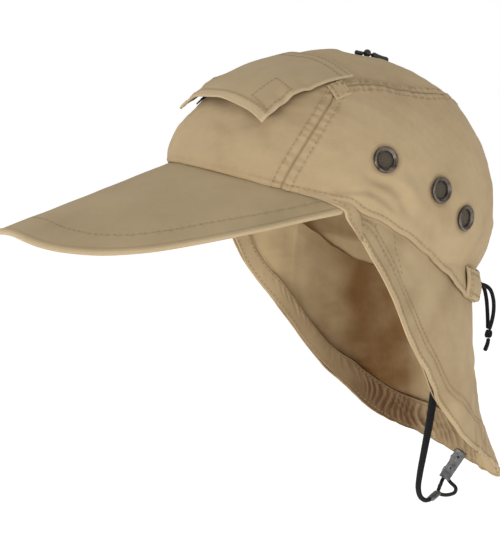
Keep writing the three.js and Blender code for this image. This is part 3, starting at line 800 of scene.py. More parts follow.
    def lathe(self, profile: Sequence[Sequence[float]], centre: Array, axis: Array,
              sides: int = 64) -> "Mesh":
        """Adds a closed profile of radius and height, turned about an axis.

        Args:
            profile: Radius and height pairs of a closed outline.
            centre: Where height 0 lies on the axis.
            axis: The axis's direction.
            sides: Steps round the axis.

        Returns:
            This mesh.
        """
        shape = np.asarray(profile, float)
        side = unit(np.cross(axis, UP))
        up = np.cross(axis, side)
        angle = np.linspace(0, 2 * math.pi, sides, endpoint=False)
        way = np.cos(angle)[:, None] * side + np.sin(angle)[:, None] * up
        rings = centre + way[:, None] * shape[None, :, :1] + axis * shape[None, :, 1:]
        number = np.arange(sides * len(shape)).reshape(sides, len(shape))
        nxt, following = np.roll(number, -1, axis=0), np.roll(number, -1, axis=1)
        quads = np.stack([number, nxt, np.roll(nxt, -1, axis=1), following], axis=-1).reshape(-1, 4)
        after = np.roll(shape, -1, 0)
        area = (shape[:, 0] * after[:, 1] - shape[:, 1] * after[:, 0]).sum()
        if area > 0:
            quads = quads[:, ::-1]
        run = run_along(shape)
        uv = stack(angle[:, None] * shape[:, 0].max(), run[None]).reshape(-1, 2)
        self.add(rings.reshape(-1, 3), quads, uv)
        return self

    def make(self, name: str, finish: "Finishes", slot: str, stands_in: bool = True) -> bpy.types.Object:
        """Makes the object, in metres, at the origin, and hands it to the frame.

        Args:
            name: The piece's name.
            finish: Its finish.
            slot: The record's material slot; not used.
            stands_in: Whether it stands for the CAD node of its name, or is a piece of the scene's own.

        Returns:
            The object.
        """
        vertices = np.concatenate(self.vertices) * MM
        quads = np.concatenate(self.quads)
        mesh = bpy.data.meshes.new(name)
        mesh.vertices.add(len(vertices))
        mesh.vertices.foreach_set("co", vertices.astype(np.float32).ravel())
        mesh.loops.add(quads.size)
        mesh.loops.foreach_set("vertex_index", quads.astype(np.int32).ravel())
        mesh.polygons.add(len(quads))
        mesh.polygons.foreach_set("loop_start", np.arange(0, quads.size, 4, dtype=np.int32))
        mesh.update(calc_edges=True)
        mesh.validate()
        mesh.polygons.foreach_set("use_smooth", np.ones(len(mesh.polygons), bool))
        layer = mesh.uv_layers.new(name="cloth")
        loops = np.zeros(len(mesh.loops), np.int32)
        mesh.loops.foreach_get("vertex_index", loops)
        layer.data.foreach_set("uv", (np.concatenate(self.uvs)[loops]).astype(np.float32).ravel())
        attribute = mesh.attributes.new("tone", "FLOAT", "POINT")
        attribute.data.foreach_set("value", np.concatenate(self.tones).astype(np.float32))
        mesh.materials.append(finish.material())
        obj = bpy.data.objects.new(f"{name}_look" if stands_in else name, mesh)
        bpy.context.scene.collection.objects.link(obj)
        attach(obj, BODY)
        if stands_in:
            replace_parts(obj, name)
        LOG.info("%s: %d faces", name, len(quads))
        return obj


class Number:
    """A socket that carries a number, with Python's operators adding Math nodes."""

    def __init__(self, finish: "Finish", socket: bpy.types.NodeSocket) -> None:
        """Keeps the finish that the nodes go into, and the socket."""
        self.finish = finish
        self.socket = socket

    def _math(self, operation: str, *values: "Number | float") -> "Number":
        """Returns the result of one Math node."""
        return self.finish.number("ShaderNodeMath", {"operation": operation}, *values)

    def __add__(self, other: "Number | float") -> "Number":
        """Returns the sum."""
        return self._math("ADD", self, other)

    __radd__ = __add__

    def __mul__(self, other: "Number | float") -> "Number":
        """Returns the product."""
        return self._math("MULTIPLY", self, other)

    __rmul__ = __mul__

    def __sub__(self, other: "Number | float") -> "Number":
        """Returns the difference."""
        return self._math("SUBTRACT", self, other)

    def __rsub__(self, other: float) -> "Number":
        """Returns the difference from a number."""
        return self._math("SUBTRACT", other, self)

    def clipped(self) -> "Number":
        """Returns the number held within 0..1."""
        return self._math("MINIMUM", self._math("MAXIMUM", self, 0.0), 1.0)

    def sine(self) -> "Number":
        """Returns the sine."""
        return self._math("SINE", self)


class Finish:
    """One material: a Principled shader and the nodes that feed it."""

    def __init__(self, name: str, **constants: float | Sequence[float]) -> None:
        """Makes the material and sets the shader's constant sockets.

        Args:
            name: The material's name.
            constants: Values of the shader's sockets, under the sockets' names in small letters.
        """
        self.material = bpy.data.materials.new(name)
        self.material.use_nodes = True
        self.tree = self.material.node_tree
        self.tree.nodes.clear()
        output = self.tree.nodes.new("ShaderNodeOutputMaterial")
        self.shader = self.tree.nodes.new("ShaderNodeBsdfPrincipled")
        self.tree.links.new(self.shader.outputs[0], output.inputs[0])
        for key, value in constants.items():
            self.shader.inputs[key.replace("_", " ").title().replace("Ior", "IOR")].default_value = value

    def node(self, kind: str, settings: dict[str, object], *values: object,
             **named: object) -> bpy.types.Node:
        """Adds one node.

        Args:
            kind: The node's type.
            settings: Its settings, which are set before its sockets.
            values: Values, numbers or sockets for its inputs in order.
            named: The same, by the input's name with underscores for spaces.

        Returns:
            The node.
        """
        made = self.tree.nodes.new(kind)
        for key, value in settings.items():
            setattr(made, key, value)
        for key, value in [*enumerate(values), *((k.replace("_", " "), v) for k, v in named.items())]:
            socket = made.inputs[key]
            if isinstance(value, Number):
                self.tree.links.new(value.socket, socket)
            elif isinstance(value, bpy.types.NodeSocket):
                self.tree.links.new(value, socket)
            elif value is not None:
                socket.default_value = value
        return made

    def number(self, kind: str, settings: dict[str, object], *values: object, **named: object) -> Number:
        """Returns the number that a new node gives first; it takes what node() takes."""
        return Number(self, self.node(kind, settings, *values, **named).outputs[0])

    def noise(self, size_mm: float, detail: float = 2.0) -> Number:
        """Returns noise of about 0..1 on Object coordinates, whose lumps have a size."""
        place = self.node("ShaderNodeTexCoord", {}).outputs["Object"]
        return self.number("ShaderNodeTexNoise", {}, Vector=place, Scale=1.0 / (size_mm * MM), Detail=detail)

    def flat(self) -> bpy.types.NodeSocket:
        """Returns the piece's own flat place, in millimetres."""
        return self.node("ShaderNodeUVMap", {"uv_map": "cloth"}).outputs[0]

    def parts(self, place: bpy.types.NodeSocket) -> tuple[Number, Number]:
        """Returns a flat place's parts across and along."""
        split = self.node("ShaderNodeSeparateXYZ", {}, place)
        return Number(self, split.outputs[0]), Number(self, split.outputs[1])

    def blend(self, share: Number, low: object, high: object) -> bpy.types.NodeSocket:
        """Returns a colour between two, by share.

        Args:
            share: Share of the second colour.
            low: The first colour, or a socket that gives it.
            high: The second colour.

        Returns:
            The socket of the mixed colour.
        """
        made = self.node("ShaderNodeMix", {"data_type": "RGBA"}, share)
        for key, value in ((6, low), (7, high)):
            if isinstance(value, bpy.types.NodeSocket):
                self.tree.links.new(value, made.inputs[key])
            else:
                made.inputs[key].default_value = (*value, 1)
        return made.outputs[2]

    def feed(self, name: str, value: object) -> None:
        """Links a number or a colour to one of the shader's sockets."""
        self.tree.links.new(value.socket if isinstance(value, Number) else value, self.shader.inputs[name])

    def relief(self, height: Number, depth_mm: float, strength: float = 1.0) -> None:
        """Feeds a height, in shares of a depth, to the shader's normal."""
        made = self.node("ShaderNodeBump", {}, Strength=strength, Distance=depth_mm * MM, Height=height)
        self.tree.links.new(made.outputs[0], self.shader.inputs["Normal"])


Colour = tuple[float, float, float]


@dataclass(frozen=True)
class Cotton:
    """Woven cotton: plain weave, slubs, mottling, painted light on ridges, partly wear on edges, and painted
    shade in hollows.
    """

    name: str
    colour: Colour
    pale: Colour
    dark: Colour
    yarn: float = 0.42
    weave_depth: float = 0.11
    roughness: float = 0.84
    mottle: float = 0.5

    def build(self) -> bpy.types.Material:
        """Builds the material.

        The weave is the product of two sines on the piece's own flat places; slubs are noise
        stretched along each yarn direction; the mesh's tone paints light on ridges and shade in hollows.

        Returns:
            The material.
        """
        finish = Finish(self.name, sheen_weight=0.06, sheen_roughness=0.45, specular_ior_level=0.22)
        finish.shader.inputs["Sheen Tint"].default_value = (*self.pale, 1)
        flat = finish.flat()
        across, along = finish.parts(flat)
        turn = math.pi / self.yarn
        weave = (across * turn).sine() * (along * turn).sine()
        one, other = (
            finish.number("ShaderNodeTexNoise", {}, Detail=2.0, Scale=1.0, Vector=finish.node(
                "ShaderNodeVectorMath", {"operation": "MULTIPLY"}, flat, way).outputs[0])
            for way in ((0.1, 1.6, 1.0), (1.6, 0.1, 1.0))
        )
        slub = one * 0.5 + other * 0.5
        broad, middle, fine = finish.noise(38.0), finish.noise(9.0, 3.0), finish.noise(1.6, 2.0)
        tone = Number(finish, finish.node("ShaderNodeAttribute", {"attribute_name": "tone"}).outputs["Fac"])
        cloudy = (broad - 0.5) * 0.9 + (middle - 0.5) * 0.55 + (slub - 0.5) * 0.7 + weave * 0.05
        # The mesh's tone brings painted light, painted shade, worn edges and random tone into the base
        # colour.
        light = tone + cloudy * self.mottle
        base = finish.blend(light.clipped(), self.colour, self.pale)
        finish.feed("Base Color", finish.blend((light * -1.0).clipped(), base, self.dark))
        finish.feed("Roughness", (fine - 0.5) * 0.2 + self.roughness)
        crumple = middle * 2.6 + fine * 1.2
        finish.relief(weave * 0.5 + slub * 1.6 + crumple, self.weave_depth, 0.85)
        return finish.material


@dataclass(frozen=True)
class Braid:
    """Braided cord: crossing strands round the cord's own flat places."""

    name: str
    colour: Colour
    pale: Colour
    strands: float = 6.0
    pitch: float = 2.2
    depth: float = 0.25
    roughness: float = 0.72

    def build(self) -> bpy.types.Material:
        """Builds the material: two families of sines wind round the cord in opposite ways.

        Returns:
            The material.
        """
        finish = Finish(self.name, sheen_weight=0.02, sheen_roughness=0.4, specular_ior_level=0.25)
        around, along = finish.parts(finish.flat())
        wind = around * (2 * math.pi * self.strands)
        run = along * (2 * math.pi / self.pitch)
        strands = (wind + run).sine() * (wind - run).sine()
        fuzz = finish.noise(0.7, 3.0)
        # Paler on the strands' crests and darker between them: painted light and shade, stirred by random
        # fuzz.
        shade = ((strands * 0.4 + 0.35) + (fuzz - 0.5) * 0.5).clipped()
        finish.feed("Base Color", finish.blend(shade, self.colour, self.pale))
        finish.feed("Roughness", (fuzz - 0.5) * 0.25 + self.roughness)
        finish.relief(strands + fuzz * 0.5, self.depth, 0.8)
        return finish.material


@dataclass(frozen=True)
class Metal:
    """Plated metal: fine scratches, cloudy tarnish and slightly rubbed ridges."""

    name: str
    colour: Colour
    tarnish: Colour
    roughness: float = 0.36
    metallic: float = 0.9
    cover: float = 0.5

    def build(self) -> bpy.types.Material:
        """Builds the material: noise mixes the plating with its tarnish and dulls its gloss.

        Returns:
            The material.
        """
        finish = Finish(self.name, metallic=self.metallic)
        cloud, grain = finish.noise(3.0, 3.0), finish.noise(0.35, 2.0)
        worn = ((cloud - 0.5) * 2.2 + self.cover).clipped()
        finish.feed("Base Color", finish.blend(worn, self.colour, self.tarnish))
        finish.feed("Roughness", worn * 0.16 + (grain - 0.5) * 0.12 + self.roughness)
        finish.relief(grain + cloud * 0.5, 0.05, 0.6)
        return finish.material


@dataclass(frozen=True)
class Net:
    """Fine woven net: crossed wires with painted shade in the openings between them."""

    name: str
    wire: Colour
    # The openings' colour is painted shade of the hat's inside seen through them.
    hole: Colour
    pitch: float = 0.95

    def build(self) -> bpy.types.Material:
        """Builds the material: squared sines across and along raise the wires.

        Returns:
            The material.
        """
        finish = Finish(self.name, specular_ior_level=0.3)
        across, along = ((part * (math.pi / self.pitch)).sine() for part in finish.parts(finish.flat()))
        hole = (across * across * (along * along) * 1.5).clipped()
        cloud = finish.noise(4.0, 2.0)
        # Painted shade fills the openings between the wires.
        finish.feed("Base Color", finish.blend(hole, self.wire, self.hole))
        finish.feed("Roughness", (cloud - 0.5) * 0.2 + 0.7)
        finish.relief(1.0 - hole, 0.3, 1.0)
        return finish.material


@dataclass(frozen=True)
class Moulding:
    """Moulded plastic: a satin skin with a faint orange-peel surface and rubbed spots."""

    name: str
    colour: Colour
    pale: Colour
    roughness: float = 0.4

    def build(self) -> bpy.types.Material:
        """Builds the material: fine noise pales and roughens the skin.

        Returns:
            The material.
        """
        finish = Finish(self.name)
        cloud, peel = finish.noise(5.0, 3.0), finish.noise(0.9, 2.0)
        finish.feed("Base Color", finish.blend((cloud * 0.7).clipped(), self.colour, self.pale))
        finish.feed("Roughness", (cloud - 0.5) * 0.3 + self.roughness)
        finish.relief(peel, 0.06, 0.5)
        return finish.material


class Finishes(Enum):
    """The hat's finishes."""

    CROWN = Cotton("crown_cotton", (0.42, 0.312, 0.18), (0.53, 0.41, 0.255), (0.22, 0.145, 0.072))
    PEAK = Cotton("peak_cotton", (0.4, 0.305, 0.18), (0.53, 0.415, 0.262), (0.2, 0.14, 0.075), mottle=0.36)
    FLAP = Cotton("flap_cotton", (0.41, 0.31, 0.183), (0.55, 0.43, 0.275), (0.2, 0.14, 0.075), mottle=0.4)
    # The cape's and the casing's pale and dark ends are set for the painted light near the inside's front
    # and the painted shade deep inside.
    CAPE = Cotton("cape_cotton", (0.42, 0.312, 0.18), (0.6, 0.46, 0.27), (0.165, 0.083, 0.028))
    CASING = Cotton("casing_cotton", (0.42, 0.31, 0.18), (0.6, 0.46, 0.28), (0.13, 0.066, 0.028), mottle=0.5)
    # The thread is darker than the cloth: partly its own colour, partly the stitches' shade painted in.
    THREAD = Cotton("sewing_thread", (0.32, 0.235, 0.132), (0.4, 0.3, 0.175), (0.24, 0.165, 0.09), yarn=0.2)
    PILE = Braid("closure_pile", (0.012, 0.012, 0.012), (0.035, 0.034, 0.034), 3.0, 1.1, 0.4, 0.9)
    CORD = Braid("black_cord", (0.004, 0.004, 0.005), (0.014, 0.014, 0.016))
    EYELET = Metal("gunmetal_plating", (0.21, 0.175, 0.15), (0.05, 0.04, 0.032), 0.27)
    STEEL = Metal("nickel_plating", (0.2, 0.2, 0.2), (0.07, 0.07, 0.073), 0.34, 0.7, 0.45)
    CRIMP = Metal("dull_crimp", (0.16, 0.16, 0.16), (0.08, 0.08, 0.08), 0.42, 0.6)
    NET = Net("eyelet_net", (0.13, 0.105, 0.07), (0.02, 0.016, 0.012))
    TOGGLE = Moulding("toggle_plastic", (0.006, 0.006, 0.007), (0.03, 0.03, 0.032), 0.32)

    def material(self) -> bpy.types.Material:
        """Returns the finish's material, built the first time."""
        return bpy.data.materials.get(self.value.name) or self.value.build()


@dataclass
class Sewing:
    """Rows of stitches, collected in one mesh for each piece that they hold."""

    pitch: float = 3.1
    length: float = 2.2
    radius: float = 0.24
    sides: int = 6
    lift: float = 0.17
    mesh: Mesh = field(default_factory=Mesh)

    def row(self, line: Array) -> None:
        """Sews a row of stitches along a line.

        Each stitch is a short six-sided thread, bowed up in its middle by a parabola and sunk
        into the cloth at its ends.

        Args:
            line: Points on the cloth's face, each with the face's normal after it.
        """
        both = even(line, self.pitch)
        points, normals = both[:, :3], unit(both[:, 3:])
        if len(points) < 3:
            return
        way = unit(np.gradient(points, axis=0))
        side = unit(np.cross(normals, way))
        share = np.array((-0.5, -0.3, 0.0, 0.3, 0.5))
        height = self.lift - 2.4 * share**2
        middle = (
            points[:, None]
            + way[:, None] * (share * self.length)[None, :, None]
            + normals[:, None] * height[None, :, None]
        )
        angle = np.linspace(0, 2 * math.pi, self.sides, endpoint=False)
        thick = self.radius * np.array((0.7, 1.0, 1.0, 1.0, 0.7))
        ring = (
            side[:, None, None] * (np.cos(angle)[None, :] * thick[:, None])[None, ..., None]
            + normals[:, None, None] * (np.sin(angle)[None, :] * thick[:, None])[None, ..., None]
        )
        vertices = (middle[:, :, None] + ring).reshape(-1, 3)
        number = np.arange(5 * self.sides).reshape(5, self.sides)
        following = np.roll(number, -1, axis=1)
        quads = np.stack([number[:-1], following[:-1], following[1:], number[1:]], axis=-1).reshape(-1, 4)
        caps = []
        for end, flip in ((number[0], False), (number[-1], True)):
            for k in range(self.sides // 2 - 1):
                cap = end[[k, k + 1, self.sides - 2 - k, self.sides - 1 - k]]
                caps.append(cap[::-1] if flip else cap)
        quads = np.concatenate([quads, caps])[:, ::-1]
        count = len(points)
        every = (quads[None] + (np.arange(count) * 5 * self.sides)[:, None, None]).reshape(-1, 4)
        self.mesh.add(vertices, every, vertices[:, [2, 2]])

    def make(self, name: str, slot: str) -> bpy.types.Object:
        """Makes the sewn rows one object and returns it."""
        return self.mesh.make(name, Finishes.THREAD, slot, stands_in=False)


@dataclass(frozen=True)
class Seam:
    """How the cloth sits along a seam or a stitched edge, by distance from it."""

    valley: float = 0.85
    valley_width: float = 0.8
    ridge: float = 0.45
    row: float = 5.5
    row_depth: float = 0.32
    pucker: float = 0.3
    pucker_pitch: float = 5.4
    shade: float = 0.45

    def relief(self, distance: Array, along: Array) -> tuple[Array, Array]:
        """Works out height and tone.

        A bell-shaped valley lies on the seam, a low ridge reaches to the row of stitches, a
        narrower bell dips under the row, and a sine along the seam puckers the ridge.

        Args:
            distance: Distance from the seam.
            along: Place along the seam.

        Returns:
            The height off the cloth and the change of tone.
        """
        ridge = self.ridge * (1 - ease((distance - self.row) / 2.4))
        wobble = 1.9 * np.sin(along / 6.1) + 1.1 * np.sin(along / 2.7)
        wave = np.sin(along * 2 * math.pi / self.pucker_pitch + wobble)
        pucker = self.pucker * wave * bump(distance - 0.6 * self.row, 0.55 * self.row)
        sink = self.valley * bump(distance, self.valley_width)
        dip = self.row_depth * bump(distance - self.row, 0.75)
        # Painted shade in the seam's valley and under the row, and painted light and shade on the puckers.
        tone = -self.shade * bump(distance, 0.75) - 0.5 * self.shade * bump(distance - self.row, 0.65)
        tone = tone + 0.16 * wave * bump(distance - 0.6 * self.row, 0.5 * self.row)
        return ridge + pucker - sink - dip, tone


def fold(points: Array, line: Array, height: float, width: float) -> Array:
    """Returns the height of one soft fold along a line, fading towards its two ends.

    Args:
        points: Points on the cloth.
        line: Points along the fold.
        height: Height of its ridge.
        width: Width of its ridge.

    Returns:
        The fold's height at each point.
    """
    distance, along = distance_to(points, line)
    length = run_along(line)[-1]
    fade = ease(along / (0.3 * length)) * ease((length - along) / (0.3 * length))
    return height * bump(distance, width) * fade


# Soft folds on the crown's side: angle and w of each point, then height and width.
CROWN_FOLDS = (
    (((69, 17.5), (72, 12.9), (75.1, 10), (79.9, 8.6), (83.4, 4.8), (84.9, -0.6), (87, -6), (91, -12)),
     -1.7, 3.0),
    (((73, 7.5), (77.5, 5.2), (80.4, 1.2), (81.6, -4)), 0.8, 2.8),
    (((83, 14), (87, 8.5), (89.5, 2), (91, -5)), 0.9, 3.4),
    (((55, -3.9), (60.4, -1.9), (64.6, -0.8), (68.5, 0.9), (72.4, 2.1), (76.1, 0.2), (80.2, -3.5),
      (84, -8.6)), -0.8, 1.7),
    (((57, -6.4), (62, -4.4), (67, -3.0), (72, -1.6), (76.5, -4.0), (81, -8.2), (86, -13)), 1.0, 2.3),
    (((98.1, -22.3), (100.5, -18.1), (104, -12.7), (109, -8.6)), -0.8, 2.0),
    (((93, -17), (97, -12.5), (101, -9)), -0.5, 2.6),
    (((103, -31), (108, -26), (111, -19)), 0.6, 2.4),
    (((118, 60), (112, 44), (108, 26), (106, 12)), -0.6, 6.0),
    (((140, 46), (138, 20), (139, 0), (142, -22)), 0.7, 6.5),
    (((152, 30), (150, 6), (152, -14), (157, -30)), -0.6, 5.0),
    (((56, 40), (60, 52), (68, 62)), -0.5, 4.0),
    (((22, 6), (27, 18), (33, 33), (36, 46)), 0.5, 4.0),
    (((8, 30), (16, 24), (25, 22)), -0.4, 3.0),
)


@dataclass
class Crown:
    """The crown's four cloth panels, their seams and their topstitching."""

    seam_angle: float = math.radians(44)
    yoke_half_width: float = 50.0
    yoke_y: float = -24.0
    yoke_dip: float = 8.0
    rim_across: tuple[float, ...] = (0, 0.2, 0.36, 0.495, 0.59, 0.65, 0.655, 0.63, 50 / 83)
    rim_along: tuple[float, ...] = (0.76, 0.725, 0.635, 0.484, 0.344, 0.177, 0.031, -0.146, -32 / 96)
    hem_row: float = 3.0
    seam_row: float = 5.5
    rim_row: float = 4.6
    yoke_row: float = 4.2
    eyelet_dip: float = 6.4
    eyelet_shade_ring: float = 8.2
    eyelet_cut: float = 6.1

    def yoke(self, u: Array) -> tuple[Array, Array]:
        """Returns places in plan along the seam over the forehead: a shallow parabola."""
        return self.yoke_half_width * u, self.yoke_y - self.yoke_dip * u * u

    def rim(self, at: Array) -> tuple[Array, Array]:
        """Returns places in plan along the top panel's rim, from the centre back forward.

        Args:
            at: Shares of the way along the rim.

        Returns:
            The places across and along.
        """
        table = np.stack([self.rim_across, self.rim_along], axis=1) * (CROWN.half_width, CROWN.back_reach)
        line = catmull(table, at)
        return line[..., 0], line[..., 1]

    def lines(self) -> dict[str, Array]:
        """Returns the seams and the hem as lines of close-set points on the crown.

        Returns:
            Each line under its name.
        """
        share = np.linspace(0, 1, 240)
        found = {"yoke": CROWN.over(*self.yoke(2 * share - 1))}
        for side, sign in SIDES:
            x, y = self.rim(share)
            found[f"rim_{side}"] = CROWN.over(sign * x, y)
            phi, w = self.side_place(np.zeros_like(share), share)
            found[f"front_{side}"] = CROWN.point(sign * phi, w)
        phi, w = self.side_place(np.ones_like(share), share)
        found["back"] = CROWN.point(phi, w)
        around = np.linspace(-math.pi, math.pi, 1500)
        found["hem"] = CROWN.point(around, -hem_depth(around))
        return {name: even(line, 0.5) for name, line in found.items()}

    def side_place(self, u: Array, v: Array) -> tuple[Array, Array]:
        """Returns angle and w on a side panel: v runs from the hem up to the top panel's rim.

        Args:
            u: Shares from the front seam to the back seam.
            v: Shares from the hem up.

        Returns:
            The angles and w.
        """
        phi = mix(self.seam_angle, math.pi, u)
        x, y = self.rim(1 - u)
        head_phi, head_w = CROWN.at(np.maximum(x, 1e-6), y)
        return mix(phi, head_phi, v), mix(-hem_depth(phi), head_w, v)

    def relief(self, points: Array, side: int) -> tuple[Array, Array]:
        """Works out the height and tone of the cloth over the crown.

        The seams' reliefs, the hem's rolled edge, the side's soft folds and two sizes of gentle
        waves are added.

        Args:
            points: Points on the smooth crown.
            side: -1 or 1, for the wearer's right or left.

        Returns:
            The height off the crown and the change of tone.
        """
        height = 0.36 * waves(points, 52, 6, 3) + 0.24 * waves(points, 21, 8, 5)
        height = height + 0.1 * waves(points, 8, 9, 9)
        tone = 0.05 * waves(points, 30, 6, 11)
        rim = Seam(row=self.rim_row, pucker=0.42, pucker_pitch=6.5)
        for name, seam in (
            ("yoke", Seam(row=self.yoke_row, pucker=0.25)), ("rim_left", rim), ("rim_right", rim),
            ("front_left", Seam()), ("front_right", Seam()), ("back", Seam(row=self.rim_row, pucker=0.2)),
        ):
            added = seam.relief(*distance_to(points, self.seams[name]))
            height, tone = height + added[0], tone + added[1]
        away, along = distance_to(points, self.seams["hem"])
        rolled = 0.55 * bump(away - 1.1, 1.3) - 0.3 * bump(away - self.hem_row, 0.6)
        pucker = 0.16 * np.sin(along * 1.25 + 2 * np.sin(along / 9)) * bump(away - 2.4, 2.2)
        # Paler along the hem's edge, partly worn and partly painted highlight, and painted shade in the dip
        # under its row.
        tone = tone + 0.22 * bump(away, 0.9) - 0.25 * bump(away - self.hem_row, 0.55)
        height = height + rolled + pucker
        for places, rise, width in CROWN_FOLDS:
            phi, w = catmull(np.array(places) * (math.radians(1), 1), np.linspace(0, 1, 80)).T
            line = even(CROWN.point(side * phi, w), 0.5)
            height = height + fold(points, line, rise, width)
        return height, tone

    def panel(self, name: str, points: Array, normals: Array, side: int, sewing: Sewing,
              rows: Sequence[tuple[str, float]], holes: Sequence[tuple[Array, Array]] = ()) -> None:
        """Makes one panel and sews its rows.

        Args:
            name: The panel's name, which is also its CAD node's.
            points: The smooth crown's points over a grid.
            normals: Their normals.
            side: -1 or 1, for the wearer's right or left.
            sewing: Where the panel's stitches go.
            rows: Side of the grid and distance in, for each row of stitches.
            holes: Centre and axis of each eyelet in it.
        """
        height, tone = self.relief(points, side)
        gone = np.zeros(points.shape[:2], bool)
        for centre, axis in holes:
            off = points - centre
            out = np.linalg.norm(off - (off @ axis)[..., None] * axis, axis=-1)
            near = np.linalg.norm(off, axis=-1) < 30
            height = height - 0.75 * bump(np.maximum(0, out - self.eyelet_dip), 2.6) * near
            # Painted shade in the hollow round the eyelet.
            tone = tone - 0.3 * bump(out - self.eyelet_shade_ring, 1.2) * near
            gone |= (out < self.eyelet_cut) & near
        face = points + normals * height[..., None]
        facing = grid_normals(face, normals)
        cells = gone[:-1, :-1] & gone[1:, :-1] & gone[:-1, 1:] & gone[1:, 1:]
        Mesh().sheet(face, facing, CROWN.cloth, tone, holes=cells).make(name, Finishes.CROWN, "khaki")
        for edge, distance in rows:
            sewing.row(inset(np.concatenate([face, facing], axis=-1), edge, distance))

    def build(self) -> None:
        """Builds the front, side and top panels with their stitches."""
        self.seams = self.lines()
        sewing = Sewing()
        u, v = np.meshgrid(np.linspace(-1, 1, 181), np.linspace(0, 1, 81))
        low_phi = self.seam_angle * u
        x, y = self.yoke(u)
        top_phi, top_w = CROWN.at(x, y)
        phi, w = mix(low_phi, top_phi, v), mix(-hem_depth(low_phi), top_w, v)
        self.panel(
            "front_panel", CROWN.point(phi, w), CROWN.normal(phi, w), 1, sewing,
            (("first_column", self.seam_row), ("last_column", self.seam_row), ("last_row", self.yoke_row)),
        )
        u, v = np.meshgrid(np.linspace(0, 1, 281), np.linspace(0, 1, 121))
        phi, w = self.side_place(u, v)
        for side, sign in SIDES:
            self.panel(
                f"side_panel_{side}", CROWN.point(sign * phi, w), CROWN.normal(sign * phi, w), sign, sewing,
                (("first_column", self.seam_row), ("last_row", self.rim_row), ("first_row", self.hem_row)),
                EYELETS.sites(sign),
            )
        u, v = np.meshgrid(np.linspace(-1, 1, 181), np.linspace(0, 1, 111))
        rim_x, rim_y = self.rim(np.abs(u))
        yoke_x, yoke_y = self.yoke(u)
        x, y = mix(yoke_x, np.sign(u) * rim_x, v), mix(yoke_y, rim_y, v)
        points = CROWN.over(x, y)
        self.panel(
            "top_panel", points, CROWN.over(x, y, 1.0) - points, 1, sewing,
            (("last_row", self.rim_row), ("first_row", self.yoke_row)),
        )
        sewing.make("crown_topstitching", "khaki")


def cloth_area(grid: Array) -> float:
    """Returns a grid's area: half the crossed diagonals of its cells.

    Args:
        grid: Points in rows and columns.

    Returns:
        The area, in the grid's own unit squared.
    """
    one = grid[1:, 1:] - grid[:-1, :-1]
    other = grid[1:, :-1] - grid[:-1, 1:]
    return float(np.linalg.norm(np.cross(one, other), axis=-1).sum() / 2)


@dataclass
class Peak:
    """The long peak: a stiff board in cloth with one row of stitches inside its edge."""

    row_y: tuple[float, ...] = (45, 67, 88, 106, 123, 145, 162, 174, 180, 185, 189)
    row_in: tuple[float, ...] = (8.4, 8.8, 9.4, 10.3, 11, 11.1, 11.8, 13.6, 15.2, 18.5, 20)
    rim_row: float = 2.6

    def build(self) -> None:
        """Builds the peak and its stitches.

        Over the smooth face lie slight waves, a dip with puckers along the row of stitches, and
        a rolled lip round the outline; the board's thickness shows as a rounded edge. The row
        runs further in at the tip, by a table of distance against place along the peak.
        """
        u, v = np.meshgrid(np.linspace(-1, 1, 241), np.linspace(0, 1, 121))
        x, y = PEAK.plan(u, v, CROWN)
        base = stack(x, y, PEAK.top(x, y, CROWN.front_reach))
        normal = grid_normals(base, UP)
        outline = even(base[-1], 0.5)
        away, along = distance_to(base, outline)
        off = away - np.interp(-y, self.row_y, self.row_in)
        height = 0.2 * waves(base, 60, 5, 21) + 0.07 * waves(base, 17, 8, 22)
        wave = np.sin(along * 2 * math.pi / 6.6 + 2.2 * np.sin(along / 13))
        height = height - 0.22 * bump(off, 0.9) + 0.12 * wave * bump(off, 3.0)
        height = height + 0.28 * bump(away - 1.0, 1.0) - 0.2 * bump(away - self.rim_row, 0.6)
        # Paler outer edge, partly worn and partly painted highlight; painted shade under the row and inside
        # the lip; painted light and shade on the puckers; random tone from the waves.
        tone = 0.25 * bump(away, 1.3) - 0.16 * bump(off, 0.6) + 0.05 * waves(base, 40, 5, 23)
        tone = tone + 0.08 * wave * bump(off, 2.4) - 0.12 * bump(away - self.rim_row, 0.5)
        face = base + normal * height[..., None]
        Mesh().sheet(face, normal, PEAK.thickness, tone, roll=7).make("peak", Finishes.PEAK, "khaki_peak")
        sewing = Sewing(pitch=3.4)
        sewing.row(level(np.concatenate([face, normal], axis=-1), off))
        sewing.make("peak_topstitching", "khaki_peak")


